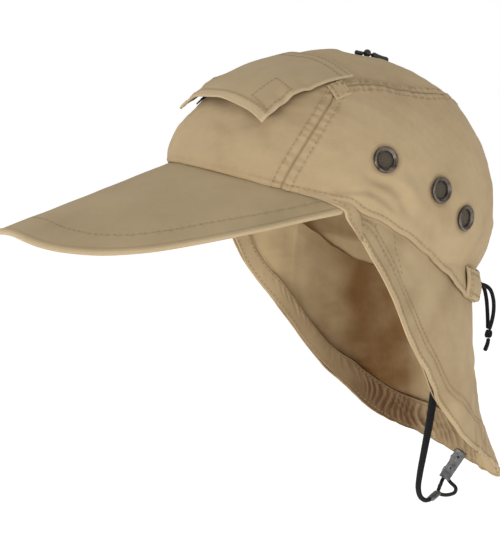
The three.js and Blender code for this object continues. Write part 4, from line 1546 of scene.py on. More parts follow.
@dataclass
class PocketFlap:
    """The flap over the crown's pocket, its closure patches and the pocket's end stitches."""

    back_half: float = 46.0
    front_half: float = 43.0
    back_y: float = -20.0
    front_y: float = -77.0
    lift: float = 4.3
    bow: float = 3.0
    curl: float = 0.1
    cloth: float = 1.5
    patch_x: float = 33.0
    patch_y: float = -63.0
    patch_size: float = 15.0
    patch_thickness: float = 0.9
    corner_x: float = 51.5
    corner_y: float = -32.0
    corner_size: float = 9.0

    def plan(self, u: Array, v: Array) -> tuple[Array, Array]:
        """Returns places in plan: a trapezium whose back and front edges bow.

        Args:
            u: Shares from side to side, from -1 to 1.
            v: Shares from the back edge to the front edge.

        Returns:
            The places across and along.
        """
        x = mix(self.back_half, self.front_half, v) * u
        back = self.back_y - self.bow * (1 - u * u)
        return x, mix(back, self.front_y - 1 + self.bow * u * u, v)

    def rise(self, u: Array, v: Array) -> Array:
        """Returns the underside's height: it eases off the crown, most at the right corner."""
        return GAP + self.lift * ease(v) * (1 + self.curl * np.maximum(0, -u) ** 3)

    def patch(self, name: str, place: tuple[float, float], size: float,
              low: Callable[[Array, Array], Array], thick: float, finish: Finishes, slot: str) -> None:
        """Makes a square patch that follows the crown.

        Args:
            name: The piece's name, which is also its CAD node's.
            place: Its middle, across and along.
            size: Length of its sides.
            low: Height of its underside over the crown at places in plan.
            thick: Thickness.
            finish: Its finish.
            slot: The record's material slot.
        """
        a, b = np.meshgrid(*(middle + np.linspace(-0.5, 0.5, 41) * size for middle in place))
        edge = size / 2 - np.maximum(np.abs(a - place[0]), np.abs(b - place[1]))
        puff = 0.25 * ease(edge / 1.6) - 0.25 + 0.06 * waves(stack(a, b, a * 0), 2.2, 8, 31)
        face = CROWN.over(a, b, low(a, b) + thick + puff)
        normal = unit(CROWN.over(a, b, low(a, b) + thick + 1) - CROWN.over(a, b, low(a, b) + thick))
        # Paler along the patch's edges, partly worn and partly painted highlight.
        Mesh().sheet(face, normal, thick - 0.1, 0.2 * bump(edge, 0.7)).make(name, finish, slot)

    def build(self) -> None:
        """Builds the flap, the patches, the pocket's corners and all their stitches."""
        u, v = np.meshgrid(np.linspace(-1, 1, 181), np.linspace(0, 1, 111))
        x, y = self.plan(u, v)
        flat = stack(x, y, x * 0)
        side = (1 - np.abs(u)) * mix(self.back_half, self.front_half, v)
        front = (1 - v) * (self.back_y - self.front_y)
        height = self.rise(u, v) + self.cloth + 0.3 * waves(flat, 30, 6, 41) * ease(v * 1.5)
        flutter = 1.1 * np.sin(v * 11 + 0.6) + 0.55 * np.sin(v * 23) + 0.3 * np.sin(v * 47 + u)
        height = height + flutter * bump(side, 7.0) * ease((v - 0.15) * 2) * ease((1 - v) * 6)
        height = height + 0.35 * np.sin(u * 9) * bump(front, 6) - 0.7 * bump(front, 2.0) * ease(u * 3)
        height = height + 0.3 * (1 - ease((front - 3.6) / 1.0)) - 0.3 * bump(front - 4.4, 0.7)
        height = height + 0.45 * bump(side - 0.8, 1.0)
        # Paler side and front edges, partly worn and partly painted highlight, and painted shade in the dip
        # behind the front hem.
        tone = 0.5 * bump(side, 1.2) + 0.4 * bump(front, 3.0) - 0.2 * bump(front - 4.6, 0.7)
        back = v * (self.back_y - self.front_y)
        for row in (1.6, 6.6):
            height = height - 0.25 * bump(back - row, 0.7)
            # Painted shade in the dip under each back row of stitches.
            tone = tone - 0.18 * bump(back - row, 0.7)
        for middle in (-self.patch_x, self.patch_x):
            off_x, off_y = np.abs(x - middle), np.abs(y - self.patch_y)
            outline = np.abs(np.maximum(off_x, off_y) - self.patch_size / 2)
            height = height - 0.24 * bump(outline, 0.6)
            # Painted shade in the groove of each patch's stitched outline.
            tone = tone - 0.16 * bump(outline, 0.6)
        face = CROWN.over(x, y, height)
        normal = grid_normals(face, UP)
        mesh = Mesh().sheet(face, normal, self.cloth, tone)
        flap = mesh.make("pocket_flap", Finishes.FLAP, "khaki_peak")
        sewing = Sewing(length=2.4)
        both = np.concatenate([face, normal], axis=-1)
        for edge, distance in (("first_row", 1.6), ("first_row", 6.6), ("last_row", 4.4)):
            sewing.row(inset(both, edge, distance)[3:-3])
        half = self.patch_size / 2
        corners = np.array([(-1, -1), (1, -1), (1, 1), (-1, 1), (-1, -1)]) * half
        for middle in (-self.patch_x, self.patch_x):
            for start, end in zip(corners[:-1], corners[1:]):
                place = mix(start, end, np.linspace(0.02, 0.98, 24)[:, None]) + (middle, self.patch_y)
                share_v = (self.back_y - place[:, 1]) / (self.back_y - self.front_y)
                for _ in range(4):
                    share_u = place[:, 0] / mix(self.back_half, self.front_half, share_v)
                    back = self.back_y - self.bow * (1 - share_u**2)
                    share_v = (back - place[:, 1]) / (back - self.front_y + 1 - self.bow * share_u**2)
                sewing.row(sample(both, share_v * (len(v) - 1), (share_u + 1) / 2 * (len(v[0]) - 1)))

        def on_crown(a: Array, b: Array) -> Array:
            """Returns the height of what is sewn to the crown: just off its face."""
            return np.full_like(a, GAP)

        def under(a: Array, b: Array) -> Array:
            """Returns the height of the flap's patches: just under the flap."""
            share = (self.back_y - b) / (self.back_y - self.front_y)
            across = a / mix(self.back_half, self.front_half, share)
            return self.rise(across, share - 0.03) - GAP - self.patch_thickness

        for side, sign in SIDES:
            for name, low in (("panel_patch", on_crown), ("flap_patch", under)):
                self.patch(f"{name}_{side}", (sign * self.patch_x, self.patch_y), self.patch_size, low,
                           self.patch_thickness, Finishes.PILE, "closure_black")
            middle_x = sign * self.corner_x
            self.patch(f"pocket_corner_{side}", (middle_x, self.corner_y), self.corner_size, on_crown,
                       self.cloth, Finishes.CROWN, "khaki")
            reach = self.corner_size / 2 - 1.1
            for start, end in (
                ((-1, -1), (-1, 1)), ((-0.6, -1), (-0.6, 1)), ((-1, -1), (1, -1)), ((1, -1), (1, 1)),
            ):
                a, b = (mix(start[k], end[k], np.linspace(0, 1, 12)) * reach for k in (0, 1))
                line, up = (CROWN.over(middle_x + sign * a, self.corner_y + b, GAP + self.cloth + lift)
                            for lift in (0, 1))
                sewing.row(np.concatenate([line, unit(up - line)], axis=-1))
        stitches = sewing.make("flap_topstitching", "khaki_peak")
        area = cloth_area(face) * MM * MM
        LOG.info("pocket flap: area %.5f m2", area)


@dataclass
class Cape:
    """The neck cape, its casing, its front ends over the peak and its stitching."""

    gather_height: float = 0.8
    gathers: tuple[int, int] = (8, 6)
    clip_row: float = 1.55
    casing_front: float = 11.0
    casing_back: float = 22.0
    casing_cloth: float = 1.0
    rolled: float = 1.3
    fold: float = 10.0
    end_over_peak: tuple[tuple[float, float], ...] = ((63.3, -65.9), (69.8, -56.2), (75.0, -48.8))
    # Painted light near the inside's front and painted shade deeper in, by row round the cape: rows, then
    # tones of the cape's back face.
    inside_painted_light_and_shade: tuple[tuple[float, ...], tuple[float, ...]] = (
        (0.8, 1.9, 2.4, 4.0, 5.2, 6.6, 8.6, 11), (0, 0, -1, -1, -0.6, -0.1, 0.95, 1),
    )
    patch_lines: tuple[tuple[tuple[float, float], ...], ...] = (
        ((10.0, 0.08), (9.95, 0.33), (9.65, 0.56)), ((9.36, 0.05), (9.3, 0.22), (9.02, 0.48)),
        ((9.65, 0.56), (9.34, 0.56), (9.02, 0.48)),
    )
    end_below: tuple[tuple[float, float, float], ...] = (
        (78.1, -45.3, 2.4), (78.4, -43.6, -2.6), (78.3, -39.2, -8.6), (78.0, -34.8, -13.8),
    )

    def ripple(self, row: Array, t: Array) -> Array:
        """Returns the gathers: cosine ripples across the back edge, none under the clip.

        Args:
            row: Places round the cape, as in CapeForm.point().
            t: Places down the cape.

        Returns:
            The gathers' height at each place.
        """
        r = np.abs(row)
        first, second = self.gathers
        count = np.where(r < 2, (r - 1) * first, first + (r - 2) * second)
        across = np.clip((r - 0.9) * 4, 0, 1) * np.clip((3.3 - r) * 2, 0, 1)
        clear = np.where(row < 0, np.clip((np.abs(r - self.clip_row) - 0.12) * 6, 0, 1), 1)
        wobble = 0.7 * np.sin(r * 9.0) + 0.4 * np.sin(r * 21.0)
        return self.gather_height * across * clear * ease((t - 0.7) / 0.2) * np.cos(math.pi * count + wobble)

    def casing_start(self, row: Array) -> Array:
        """Returns t where the casing begins: its width square to the edge, over the length.

        Args:
            row: Places round the cape, as in CapeForm.point().

        Returns:
            The t at each place.
        """
        last = CAPE.last
        at = np.abs(row) / last
        width = mix(self.casing_back, self.casing_front, ease((at - 0.1) / 0.5))
        inner = np.clip(np.abs(row), 0.05, last - 0.05)
        ones = np.ones_like(inner)
        edge = unit(CAPE.point(inner + 0.05, ones) - CAPE.point(inner - 0.05, ones))
        ruling = CAPE.point(inner, ones) - CAPE.point(inner, 0 * ones)
        square = np.linalg.norm(np.cross(ruling, edge), axis=-1)
        return 1 - np.minimum(0.9, width / np.maximum(square, 1))

    def columns(self, count: int) -> Array:
        """Returns rows round the cape, closer together across the gathered back."""
        share = np.linspace(-1, 1, count)
        return np.sign(share) * CAPE.last * np.abs(share) ** 1.35

    def build(self) -> None:
        """Builds the cape with its gathers and stitches, its casing and its front ends."""
        row, t = np.meshgrid(self.columns(361), mix(-0.2, 1, np.linspace(0, 1, 121) ** 0.92))
        base, normal = CAPE.point(row, t), CAPE.normal(row, t)
        edge = even(CAPE.point(self.columns(900), np.ones(900)), 0.5)
        away, along = distance_to(base, edge)
        start = self.casing_start(row)
        casing = mix(self.casing_back, self.casing_front, ease((np.abs(row) / CAPE.last - 0.1) / 0.5))
        lower = ease((t - 0.05) / 0.3) * ease(np.abs(row) / 0.7)
        height = self.ripple(row, t) * np.where(row > 0, 0.75, 1.0)
        height = height + lower * (0.8 * waves(base, 55, 6, 51) + 0.3 * waves(base, 21, 8, 52))
        height = height + 0.09 * waves(base, 8, 9, 53) * lower
        height = height + 0.5 * bump(away - self.rolled, 1.1) - 0.3 * bump(away - 3.0, 0.6)
        flutter = np.sin(along / 5.1 + 2 * np.sin(along / 17)) + 0.6 * np.sin(along / 2.9)
        height = height + 0.42 * flutter * bump(away, 8.0) * ease((np.abs(row) - 2.5) / 2)
        for offset in (0.0, 2.6):
            height = height - 0.28 * bump(away - casing + offset, 0.7)
        wave = np.sin(along * 1.9 + 1.5 * np.sin(along / 6))
        height = height + 0.14 * wave * bump(away - casing + 1.3, 4.0)
        # Paler along the rolled edge, partly worn and partly painted highlight; painted shade in the dip
        # under its row and along the casing's rows.
        tone = 0.4 * bump(away - self.rolled, 1.0) - 0.3 * bump(away - 3.0, 0.55)
        tone = tone + 0.07 * waves(base, 34, 6, 54)
        for offset in (0.0, 2.6):
            tone = tone - 0.2 * bump(away - casing + offset, 0.6)
        # Painted shade in the gathers' hollows.
        tone = tone - 0.25 * ease(-(self.ripple(row, t)) * 1.2)
        face = base + normal * height[..., None]
        facing = grid_normals(face, normal)
        # The cape's back face gets the inside's painted light and shade, with a little random tone.
        inner = np.interp(np.abs(row), *self.inside_painted_light_and_shade)
        inner = inner + 0.1 * waves(base, 25, 6, 55)
        mesh = Mesh().sheet(face, facing, CAPE.cloth, tone, back_tone=inner)
        cape = mesh.make("neck_cape", Finishes.CAPE, "khaki")
        both = np.concatenate([face, facing], axis=-1)
        sewing = Sewing(pitch=3.2, length=2.3, radius=0.27)
        for line in self.off_fold(inset(both, "last_row", 3.0)[2:-2]):
            sewing.row(line)
        for offset in (0.0, 2.6):
            sewing.row(level(both, mix(start, 1, offset / casing) - t)[4:-4])
        self.patch_stitches(both, sewing)
        ends = [self.front_end(side, sign, sewing) for side, sign in SIDES]
        stitches = sewing.make("cape_topstitching", "khaki")
        casing_piece = self.casing()
        length = run_along(edge)[-1] * MM
        area = cloth_area(face) * MM * MM
        LOG.info("cape: edge %.3f m, area %.4f m2", length, area)

    def off_fold(self, line: Array) -> list[Array]:
        """Returns the parts of a row of stitches that stay clear of the sharp fold at the tip.

        Args:
            line: Points of the row, each with its normal after it.

        Returns:
            The parts, in order.
        """
        clear = np.linalg.norm(line[:, :3] - CAPE.point(np.zeros(1), np.ones(1)), axis=1) > self.fold
        cuts = np.flatnonzero(np.diff(clear)) + 1
        return [part for part, kept in zip(np.split(line, cuts), np.split(clear, cuts)) if kept[0]]

    def patch_stitches(self, both: Array, sewing: Sewing) -> None:
        """Sews the outline of the closure patch at the cape's front end, on both sides.

        Args:
            both: The cape's points and normals over its grid.
            sewing: Where the stitches go.
        """
        rows, columns = both.shape[:2]
        for sign in (1, -1):
            for line in self.patch_lines:
                place = catmull(line, np.linspace(0, 1, 30))
                share = sign * (place[:, 0] / CAPE.last) ** (1 / 1.35)
                down = ((place[:, 1] + 0.2) / 1.2) ** (1 / 0.92)
                sewing.row(sample(both, down * (rows - 1), (share + 1) / 2 * (columns - 1)))

    def casing(self) -> bpy.types.Object:
        """Builds the casing inside the cape's edge, drawn up in finer gathers across the back.

        Returns:
            The casing.
        """
        row, share = np.meshgrid(self.columns(441), np.linspace(0, 1, 37))
        t = mix(self.casing_start(row), 0.985, share)
        base, normal = CAPE.point(row, t), CAPE.normal(row, t)
        r = np.abs(row)
        across = ease((r - 0.7) * 3) * ease((4.2 - r) * 0.9)
        run = run_along(base[20])
        along = run[None] + 2.2 * np.sin(share * 5 + run[None] / 11) + 1.1 * np.sin(run[None] / 4.3)
        middle = np.sin(math.pi * np.clip(share, 0.06, 0.94))
        ruche = 1.15 * across * np.sin(along * 2 * math.pi / 4.6) * middle
        clear = ease((r - np.where(row > 0, 1.5, 0.9)) / 0.6)
        inward = mix(0.25, CAPE.cloth + 1.2 * GAP + 0.35 * np.sin(math.pi * share), clear)
        height = self.ripple(row, t) - inward - ruche * clear
        pucker = 0.22 * np.sin(along * 2 * math.pi / 6.5) * (1 - across)
        height = height + pucker * bump(share - 0.15, 0.25) * clear
        # Darker and paler bands across the gathers and darker along the stitch line: painted shade and
        # light; then the inside's painted light and shade.
        tone = -0.8 * ease(ruche * 1.1) + 0.2 * ease(-ruche * 1.4) - 0.35 * bump(share - 0.09, 0.03)
        tone = tone * 0.7 + 0.8 * np.interp(r, *self.inside_painted_light_and_shade)
        face = base + normal * (height - self.casing_cloth)[..., None]
        facing = grid_normals(face, -normal)
        mesh = Mesh().sheet(face, facing, self.casing_cloth, tone)
        sewing = Sewing(pitch=3.0, length=2.2, radius=0.26)
        both = np.concatenate([face, facing], axis=-1)
        for edge, distance in (("first_row", 1.6), ("last_row", 1.8)):
            for line in self.off_fold(inset(both, edge, distance)[2:-2]):
                sewing.row(line)
        piece = mesh.make("cape_casing", Finishes.CASING, "khaki_casing")
        sewing.make("casing_topstitching", "khaki_casing")
        return piece

    def front_end(self, side: str, sign: int, sewing: Sewing) -> bpy.types.Object:
        """Builds one front end of the cape, a strip that laps over the peak's rear corner.

        Its upper edge hides behind the crown's hem and then lies on the cape. Its lower edge
        runs over the peak from the hem, round the peak's corner and down to the cape's edge.

        Args:
            side: left or right.
            sign: 1 for the wearer's left, -1 for the right.
            sewing: Where its row of stitches goes.

        Returns:
            The strip.
        """
        u, v = np.meshgrid(np.linspace(0, 1, 101), np.linspace(0, 1, 29))
        angles = np.radians((50, 57, 64, 69))
        tucked = CROWN.offset(angles, 3.0 - hem_depth(angles), np.full(4, -1.7))
        rows, t = np.full(3, CAPE.last - 0.25), np.array((0.16, 0.52, 0.9))
        over = CAPE.point(rows, t) - CAPE.normal(rows, t) * 0.3
        upper = catmull(np.concatenate([tucked, over]), u)
        x, y = np.array(self.end_over_peak).T
        resting = stack(x, y, PEAK.top(x, y, CROWN.front_reach) + 1.25)
        lower = catmull(np.concatenate([resting, self.end_below]), u)
        face = mix(upper, lower, v[..., None])
        out = unit(face * (1, 1, 0))
        face = face + out * (0.7 * np.sin(math.pi * v) + 0.5 * bump(v - 0.9, 0.07) * ease(u * 3))[..., None]
        face[..., 0] *= sign
        normal = grid_normals(face, face * (1, 1, 0))
        # Paler along the lower rolled edge, partly worn and partly painted highlight.
        mesh = Mesh().sheet(face, normal, 1.0, 0.5 * bump(v - 1, 0.1) * ease(u * 3))
        sewing.row(inset(np.concatenate([face, normal], axis=-1), "last_row", 3.0)[30:-6])
        return mesh.make(f"cape_front_end_{side}", Finishes.CAPE, "khaki", stands_in=False)


@dataclass
class BackTab:
    """The cloth tab across the back hem that the drawcord runs through, and the leash's tab."""

    angle: float = math.radians(54)
    height: float = 17.0
    puff: float = 1.2
    hem_reach: float = 88.0
    border: float = 2.6
    second_row: float = 5.0
    leash_row: float = 2.0

    def build(self) -> None:
        """Builds the tab with its stitched border, and the small tab inside the nape."""
        u, v = np.meshgrid(np.linspace(-1, 1, 161), np.linspace(0, 1, 45))
        phi = math.pi + self.angle * u
        w = -hem_depth(phi) + 0.5 + self.height * v
        points, normals = CROWN.point(phi, w), CROWN.normal(phi, w)
        side = (1 - np.abs(u)) * self.angle * self.hem_reach
        ends = np.minimum(v, 1 - v) * self.height
        edge = np.minimum(side, ends)
        lift = 1.6 * GAP + CROWN.cloth + self.puff * np.sin(math.pi * v) + 0.25 * waves(points, 12, 7, 61)
        lift = lift + 0.3 * bump(edge - 0.9, 0.9) - 0.35 * bump(edge - self.border, 0.6)
        lift = lift - 0.35 * bump(side - self.second_row, 0.6) - 1.3 * bump(side, self.border)
        # Paler along the rolled edges, partly worn and partly painted highlight; painted shade in the dips
        # under the stitched rows.
        tone = 0.35 * bump(edge, 1.0) - 0.3 * bump(edge - self.border, 0.6)
        tone = tone - 0.3 * bump(side - self.second_row, 0.6)
        face = points + normals * lift[..., None]
        Mesh().sheet(face, normals, CROWN.cloth, tone).make("cord_tab", Finishes.CROWN, "khaki")
        sewing = Sewing(pitch=3.0)
        both = np.concatenate([face, normals], axis=-1)
        sides = ("first_row", "last_row", "first_column", "last_column")
        for name in sides:
            sewing.row(inset(both, name, self.border)[2:-2])
        for name in sides[2:]:
            sewing.row(inset(both, name, self.second_row)[2:-2])
        low, high = (np.array(corner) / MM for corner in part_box("leash_tab"))
        a, b = np.meshgrid(np.linspace(low[0], high[0], 31), np.linspace(high[2], low[2], 41))
        rim = np.minimum(np.minimum(a - low[0], high[0] - a), np.minimum(b - low[2], high[2] - b))
        inside = low[1] + 0.35 - 0.35 * ease(rim / 1.5) + 0.1 * waves(stack(a, a * 0, b), 5, 6, 62)
        tab = stack(a, inside, b)
        way = np.broadcast_to(np.array((0.0, -1.0, 0.0)), tab.shape)
        # Paler along the rolled edges, partly worn and partly painted highlight; painted shade in the dip
        # under the row.
        tone = 0.3 * bump(rim, 0.8) - 0.3 * bump(rim - self.leash_row, 0.5)
        Mesh().sheet(tab, way, high[1] - low[1] - 0.4, tone).make("leash_tab", Finishes.CAPE, "khaki")
        both = np.concatenate([tab, way], axis=-1)
        for name in sides:
            sewing.row(inset(both, name, self.leash_row)[6:-6])
        sewing.make("tab_topstitching", "khaki")


@dataclass
class Eyelets:
    """Three vent eyelets on each side: domed metal rings round a fine net."""

    angles: tuple[float, ...] = (79.0, 100.5, 113.5)
    heights: tuple[float, ...] = (0.359, 0.124, -0.099)
    radius: float = 7.5
    bore: float = 4.9

    def sites(self, sign: int) -> list[tuple[Array, Array]]:
        """Returns each eyelet's centre and axis on one side of the crown.

        Args:
            sign: 1 for the left side, -1 for the right.

        Returns:
            A centre and an axis for each eyelet, front to back.
        """
        found = []
        for degrees, height in zip(self.angles, self.heights):
            phi = math.radians(degrees)
            w = CROWN.width_at(phi, height * CROWN.rise)
            found.append((CROWN.point(sign * phi, w), CROWN.normal(np.array(sign * phi), np.array(w))))
        return found

    def profile(self) -> list[tuple[float, float]]:
        """Returns the ring's closed outline: a domed flange, a bore and a washer behind.

        Returns:
            Distances from the axis and along it.
        """
        r, b = self.radius, self.bore
        dome = [(mix(r - 0.1, b + 0.75, s), 0.05 + 1.2 * math.sin(math.pi * (0.12 + 0.76 * s)) ** 0.8)
                for s in np.linspace(0, 1, 12)]
        throat = [(b + 0.3, 0.35), (b, 0.0), (b, -2.9), (b + 0.3, -3.2), (r - 0.5, -3.2), (r - 0.2, -2.95)]
        return [(r, -0.05), *dome, *throat, (r - 0.2, -2.55), (b + 0.7, -2.5), (b + 0.7, -0.25)]

    def build(self) -> None:
        """Builds the rings and the nets."""
        for side, sign in SIDES:
            for number, (centre, axis) in enumerate(self.sites(sign), start=1):
                mesh = Mesh().lathe(self.profile(), centre, axis)
                mesh.make(f"eyelet_{side}_{number}", Finishes.EYELET, "eyelet_metal")
                self.net(f"screen_{side}_{number}", centre, axis)

    def net(self, name: str, centre: Array, axis: Array) -> None:
        """Builds one net: a round disc that bows out a little, with a rim ring under the eyelet.

        Args:
            name: The piece's name, which is also its CAD node's.
            centre: The eyelet's centre.
            axis: The eyelet's axis.
        """
        side = unit(np.cross(axis, UP))
        up = np.cross(side, axis)
        a, b = np.meshgrid(np.linspace(-1, 1, 41), np.linspace(-1, 1, 41))
        # A square grid turned round: each point's reach is that of its square, along its own way.
        reach = np.maximum(np.abs(a), np.abs(b))
        spread = reach / np.maximum(np.hypot(a, b), 1e-6)
        x, y = a * spread * (self.bore - 0.15), b * spread * (self.bore - 0.15)
        rise = -1.15 + 0.5 * (1 - (x * x + y * y) / self.bore**2)
        face = centre + side * x[..., None] + up * y[..., None] + axis * rise[..., None]
        Mesh().sheet(face, np.broadcast_to(axis, face.shape), 0.4).make(name, Finishes.NET, "eyelet_screen")


EYELETS = Eyelets()

# Points along the cords' middle lines, in metres.
DRAWCORD_A = (
    (0.0294, 0.0834, -0.0572), (0.0306, 0.0861, -0.0576), (0.032, 0.0894, -0.0602), (0.0328, 0.0914, -0.066),
    (0.0324, 0.0922, -0.073), (0.0306, 0.0924, -0.08), (0.0285, 0.0924, -0.085),
)
DRAWCORD_B = (
    (0.0203, 0.0868, -0.0572), (0.0209, 0.0896, -0.0578), (0.0215, 0.0926, -0.061), (0.022, 0.0942, -0.067),
    (0.0228, 0.0946, -0.074), (0.024, 0.0942, -0.0805), (0.0253, 0.0934, -0.085),
)
DRAWCORD_KNOT = (0.0268, 0.0928, -0.0887)
DRAWCORD_TAIL = ((0.0268, 0.0928, -0.0923), (0.0265, 0.0924, -0.095), (0.0256, 0.0916, -0.0984))
LEASH = (
    (-0.003, 0.0812, -0.0744), (-0.004, 0.0808, -0.09), (-0.006, 0.0796, -0.11), (-0.008, 0.078, -0.13),
    (-0.0095, 0.0758, -0.15), (-0.0103, 0.0726, -0.168), (-0.0105, 0.0698, -0.182),
    (-0.0105, 0.0689, -0.1905),
    (-0.0106, 0.0706, -0.196), (-0.0108, 0.0744, -0.1989), (-0.0113, 0.0783, -0.1991),
)
CRIMP_ENDS = ((-0.0115, 0.079, -0.1989), (-0.0142, 0.0865, -0.1965))
LEASH_LOOP = (
    (-0.0145, 0.0871, -0.1948), (-0.017, 0.0896, -0.1944), (-0.0213, 0.0929, -0.1946),
    (-0.0258, 0.0968, -0.1956), (-0.0285, 0.1002, -0.1934), (-0.0269, 0.1022, -0.1891),
    (-0.0262, 0.1037, -0.1864), (-0.0278, 0.1053, -0.1859), (-0.0301, 0.1056, -0.1879),
    (-0.0316, 0.1054, -0.1918), (-0.0302, 0.1072, -0.1958), (-0.026, 0.1086, -0.1988),
    (-0.021, 0.1046, -0.2004), (-0.017, 0.0962, -0.2), (-0.0149, 0.09, -0.1984),
    (-0.0145, 0.0879, -0.1974),
)


@dataclass
class Cords:
    """The drawcord's two ends with their knot, and the leash with its crimp and loop."""

    thick: float = 2.4
    leash_width: float = 5.8
    leash_end_width: float = 3.1
    leash_across: tuple[float, float, float] = (0.545, 0.839, 0.0)

    def length(self, line: Array) -> float:
        """Returns a line's length in metres, from millimetres."""
        return round(float(run_along(line)[-1]) * MM, 4)

    def run(self, points: Sequence[Sequence[float]], count: int) -> Array:
        """Returns a smooth line through points given in metres, in millimetres."""
        return catmull(np.asarray(points) / MM, np.linspace(0, 1, count))

    def build(self) -> None:
        """Builds the cords first, with what is on them."""
        knot = self.knot()
        mesh = Mesh().tube(self.run(DRAWCORD_TAIL, 12), np.linspace(1.2, 1.35, 12), 16)
        tail = mesh.make("drawcord_tail", Finishes.CORD, "cord_black")
        for name, points in (("drawcord_a", DRAWCORD_A), ("drawcord_b", DRAWCORD_B)):
            line = self.run(points, 60)
            piece = Mesh().tube(line, self.thick / 2, 16).make(name, Finishes.CORD, "cord_black")
            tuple(points[0])
            self.length(line)
            (line * MM).tolist()
        line = self.run(LEASH, 160)
        share = np.linspace(0, 1, len(line))
        width = mix(self.leash_width, self.leash_end_width, ease(share * 1.05))
        flat = mix(0.45, 0.9, ease(share * 1.15))
        mesh = Mesh().tube(line, width / 2, 20, flat, across=np.array(self.leash_across))
        leash = mesh.make("leash_cord", Finishes.CORD, "cord_black")
        crimp = self.crimp()
        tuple(LEASH[0])
        self.length(line)
        (line * MM).tolist()
        line = self.run(LEASH_LOOP, 200)
        loop = Mesh().tube(line, self.thick / 2, 16).make("leash_loop", Finishes.CORD, "cord_black")
        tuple(LEASH_LOOP[0])
        self.length(line)
        (line * MM).tolist()

    def knot(self) -> bpy.types.Object:
        """Builds the knot: one cord wound in a trefoil, pulled tight.

        Returns:
            The piece.
        """
        turn = np.linspace(0, 2 * math.pi, 90, endpoint=False)
        line = np.array(DRAWCORD_KNOT) / MM + stack(
            0.465 * (np.sin(turn) + 1.7 * np.sin(2 * turn)),
            0.465 * (np.cos(turn) - 1.7 * np.cos(2 * turn)),
            -1.25 * np.sin(3 * turn),
        )
        return Mesh().tube(line, 1.25, 12, closed=True).make("drawcord_knot", Finishes.CORD, "cord_black")

    def crimp(self) -> bpy.types.Object:
        """Builds the crimp: a flattened sleeve pressed in rings round both strands.

        Returns:
            The piece.
        """
        start, end = (np.array(p) / MM for p in CRIMP_ENDS)
        share = np.linspace(0, 1, 90)
        line = start + (end - start) * share[:, None]
        ridge = 2.67 - 0.08 * np.cos(share * 2 * math.pi * 7)
        ridge = ridge - 0.5 * bump(share, 0.03) - 0.5 * bump(share - 1, 0.03)
        mesh = Mesh().tube(line, ridge, 32, 0.64, across=unit(np.cross(end - start, UP)))
        return mesh.make("leash_crimp", Finishes.CRIMP, "clip_steel")


@dataclass
class Clip:
    """The spring clip on the cape's edge, and the small toggle on the crown."""

    bevel: float = 0.16
    segments: int = 2
    coil_turns: int = 5
    coil_length: float = 2.6
    coil_radius: float = 1.32
    wire_radius: float = 0.26
    cord_radius: float = 0.75
    sunk: float = 0.5

    def steel(self, node: str, body: str) -> bpy.types.Object:
        """Makes a softened copy of one of the clip's solids.

        Its loose triangles are merged and flat faces joined, and its edges are rounded.

        Args:
            node: The CAD node.
            body: The body that it rides on.

        Returns:
            The piece.
        """
        mesh = frame["nodes"][node].data.copy()
        mesh.materials.clear()
        mesh.materials.append(Finishes.STEEL.material())
        work = bmesh.new()
        work.from_mesh(mesh)
        bmesh.ops.remove_doubles(work, verts=work.verts, dist=1e-6)
        bmesh.ops.dissolve_limit(work, angle_limit=math.radians(2), verts=work.verts, edges=work.edges)
        work.to_mesh(mesh)
        work.free()
        mesh.polygons.foreach_set("use_smooth", np.ones(len(mesh.polygons), bool))
        piece = bpy.data.objects.new(f"{node}_steel", mesh)
        bpy.context.scene.collection.objects.link(piece)
        rounding = piece.modifiers.new("rounding", "BEVEL")
        rounding.width = self.bevel * MM
        rounding.segments = self.segments
        rounding.limit_method = "ANGLE"
        rounding.angle_limit = math.radians(35)
        rounding.harden_normals = True
        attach(piece, body)
        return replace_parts(piece, node)

    def build(self) -> None:
        """Builds the plate, jaw, pin and coil, and dresses the toggle on the crown."""
        self.steel("clip_plate", BODY)
        self.steel("clip_jaw", JAW_BODY)
        self.steel("clip_pin", BODY)
        joint = frame["joints"][0]
        centre, axis = np.array(joint["pos_m"]) / MM, unit(np.array(joint["axis"], float))
        side = unit(np.cross(axis, UP))
        up = np.cross(axis, side)
        share = np.linspace(0, 1, 150)
        turn = share * 2 * math.pi * self.coil_turns
        ring = side * np.cos(turn)[:, None] + up * np.sin(turn)[:, None]
        line = centre + axis * ((share - 0.5) * self.coil_length)[:, None] + ring * self.coil_radius
        Mesh().tube(line, self.wire_radius, 8).make("clip_spring", Finishes.STEEL, "clip_steel")
        tail, knot, rod = (
            self.toggle(node, waist)
            for node, waist in (
                ("crown_toggle_tail", 0.92), ("crown_toggle_knot", 0.95), ("crown_toggle", 0.86),
            )
        )
        line = catmull([tail[0], tail[1], knot[1], rod[0]], np.linspace(0, 1, 40))
        mesh = Mesh().tube(line, self.cord_radius, 12)
        mesh.make("crown_toggle_cord", Finishes.CORD, "toggle_black", stands_in=False)

    def toggle(self, node: str, waist: float) -> tuple[Array, Array]:
        """Builds one part of the toggle: a rod with rounded ends along its solid's length.

        Args:
            node: The CAD node.
            waist: Width of its middle as a share of its ends'.

        Returns:
            Its end towards the peak and its middle.
        """
        data = frame["nodes"][node].data
        places = np.zeros(len(data.vertices) * 3, np.float32)
        data.vertices.foreach_get("co", places)
        places = places.reshape(-1, 3).astype(float) / MM
        centre = (places.max(0) + places.min(0)) / 2 - UP * self.sunk
        way = np.linalg.svd(places - places.mean(0))[2][0]
        way = way * np.sign(way[1])
        along = (places - centre) @ way
        off = places - centre - along[:, None] * way
        radius = float(np.linalg.norm(off, axis=1).max())
        half = max(float(along.max()) - radius * 0.75, 0.3)
        share = np.linspace(-1, 1, 40)
        line = centre + way * (share * half)[:, None]
        mesh = Mesh().tube(line, radius * mix(waist, 1.0, share**2), 24)
        mesh.make(node, Finishes.TOGGLE, "toggle_black")
        return line[0], centre


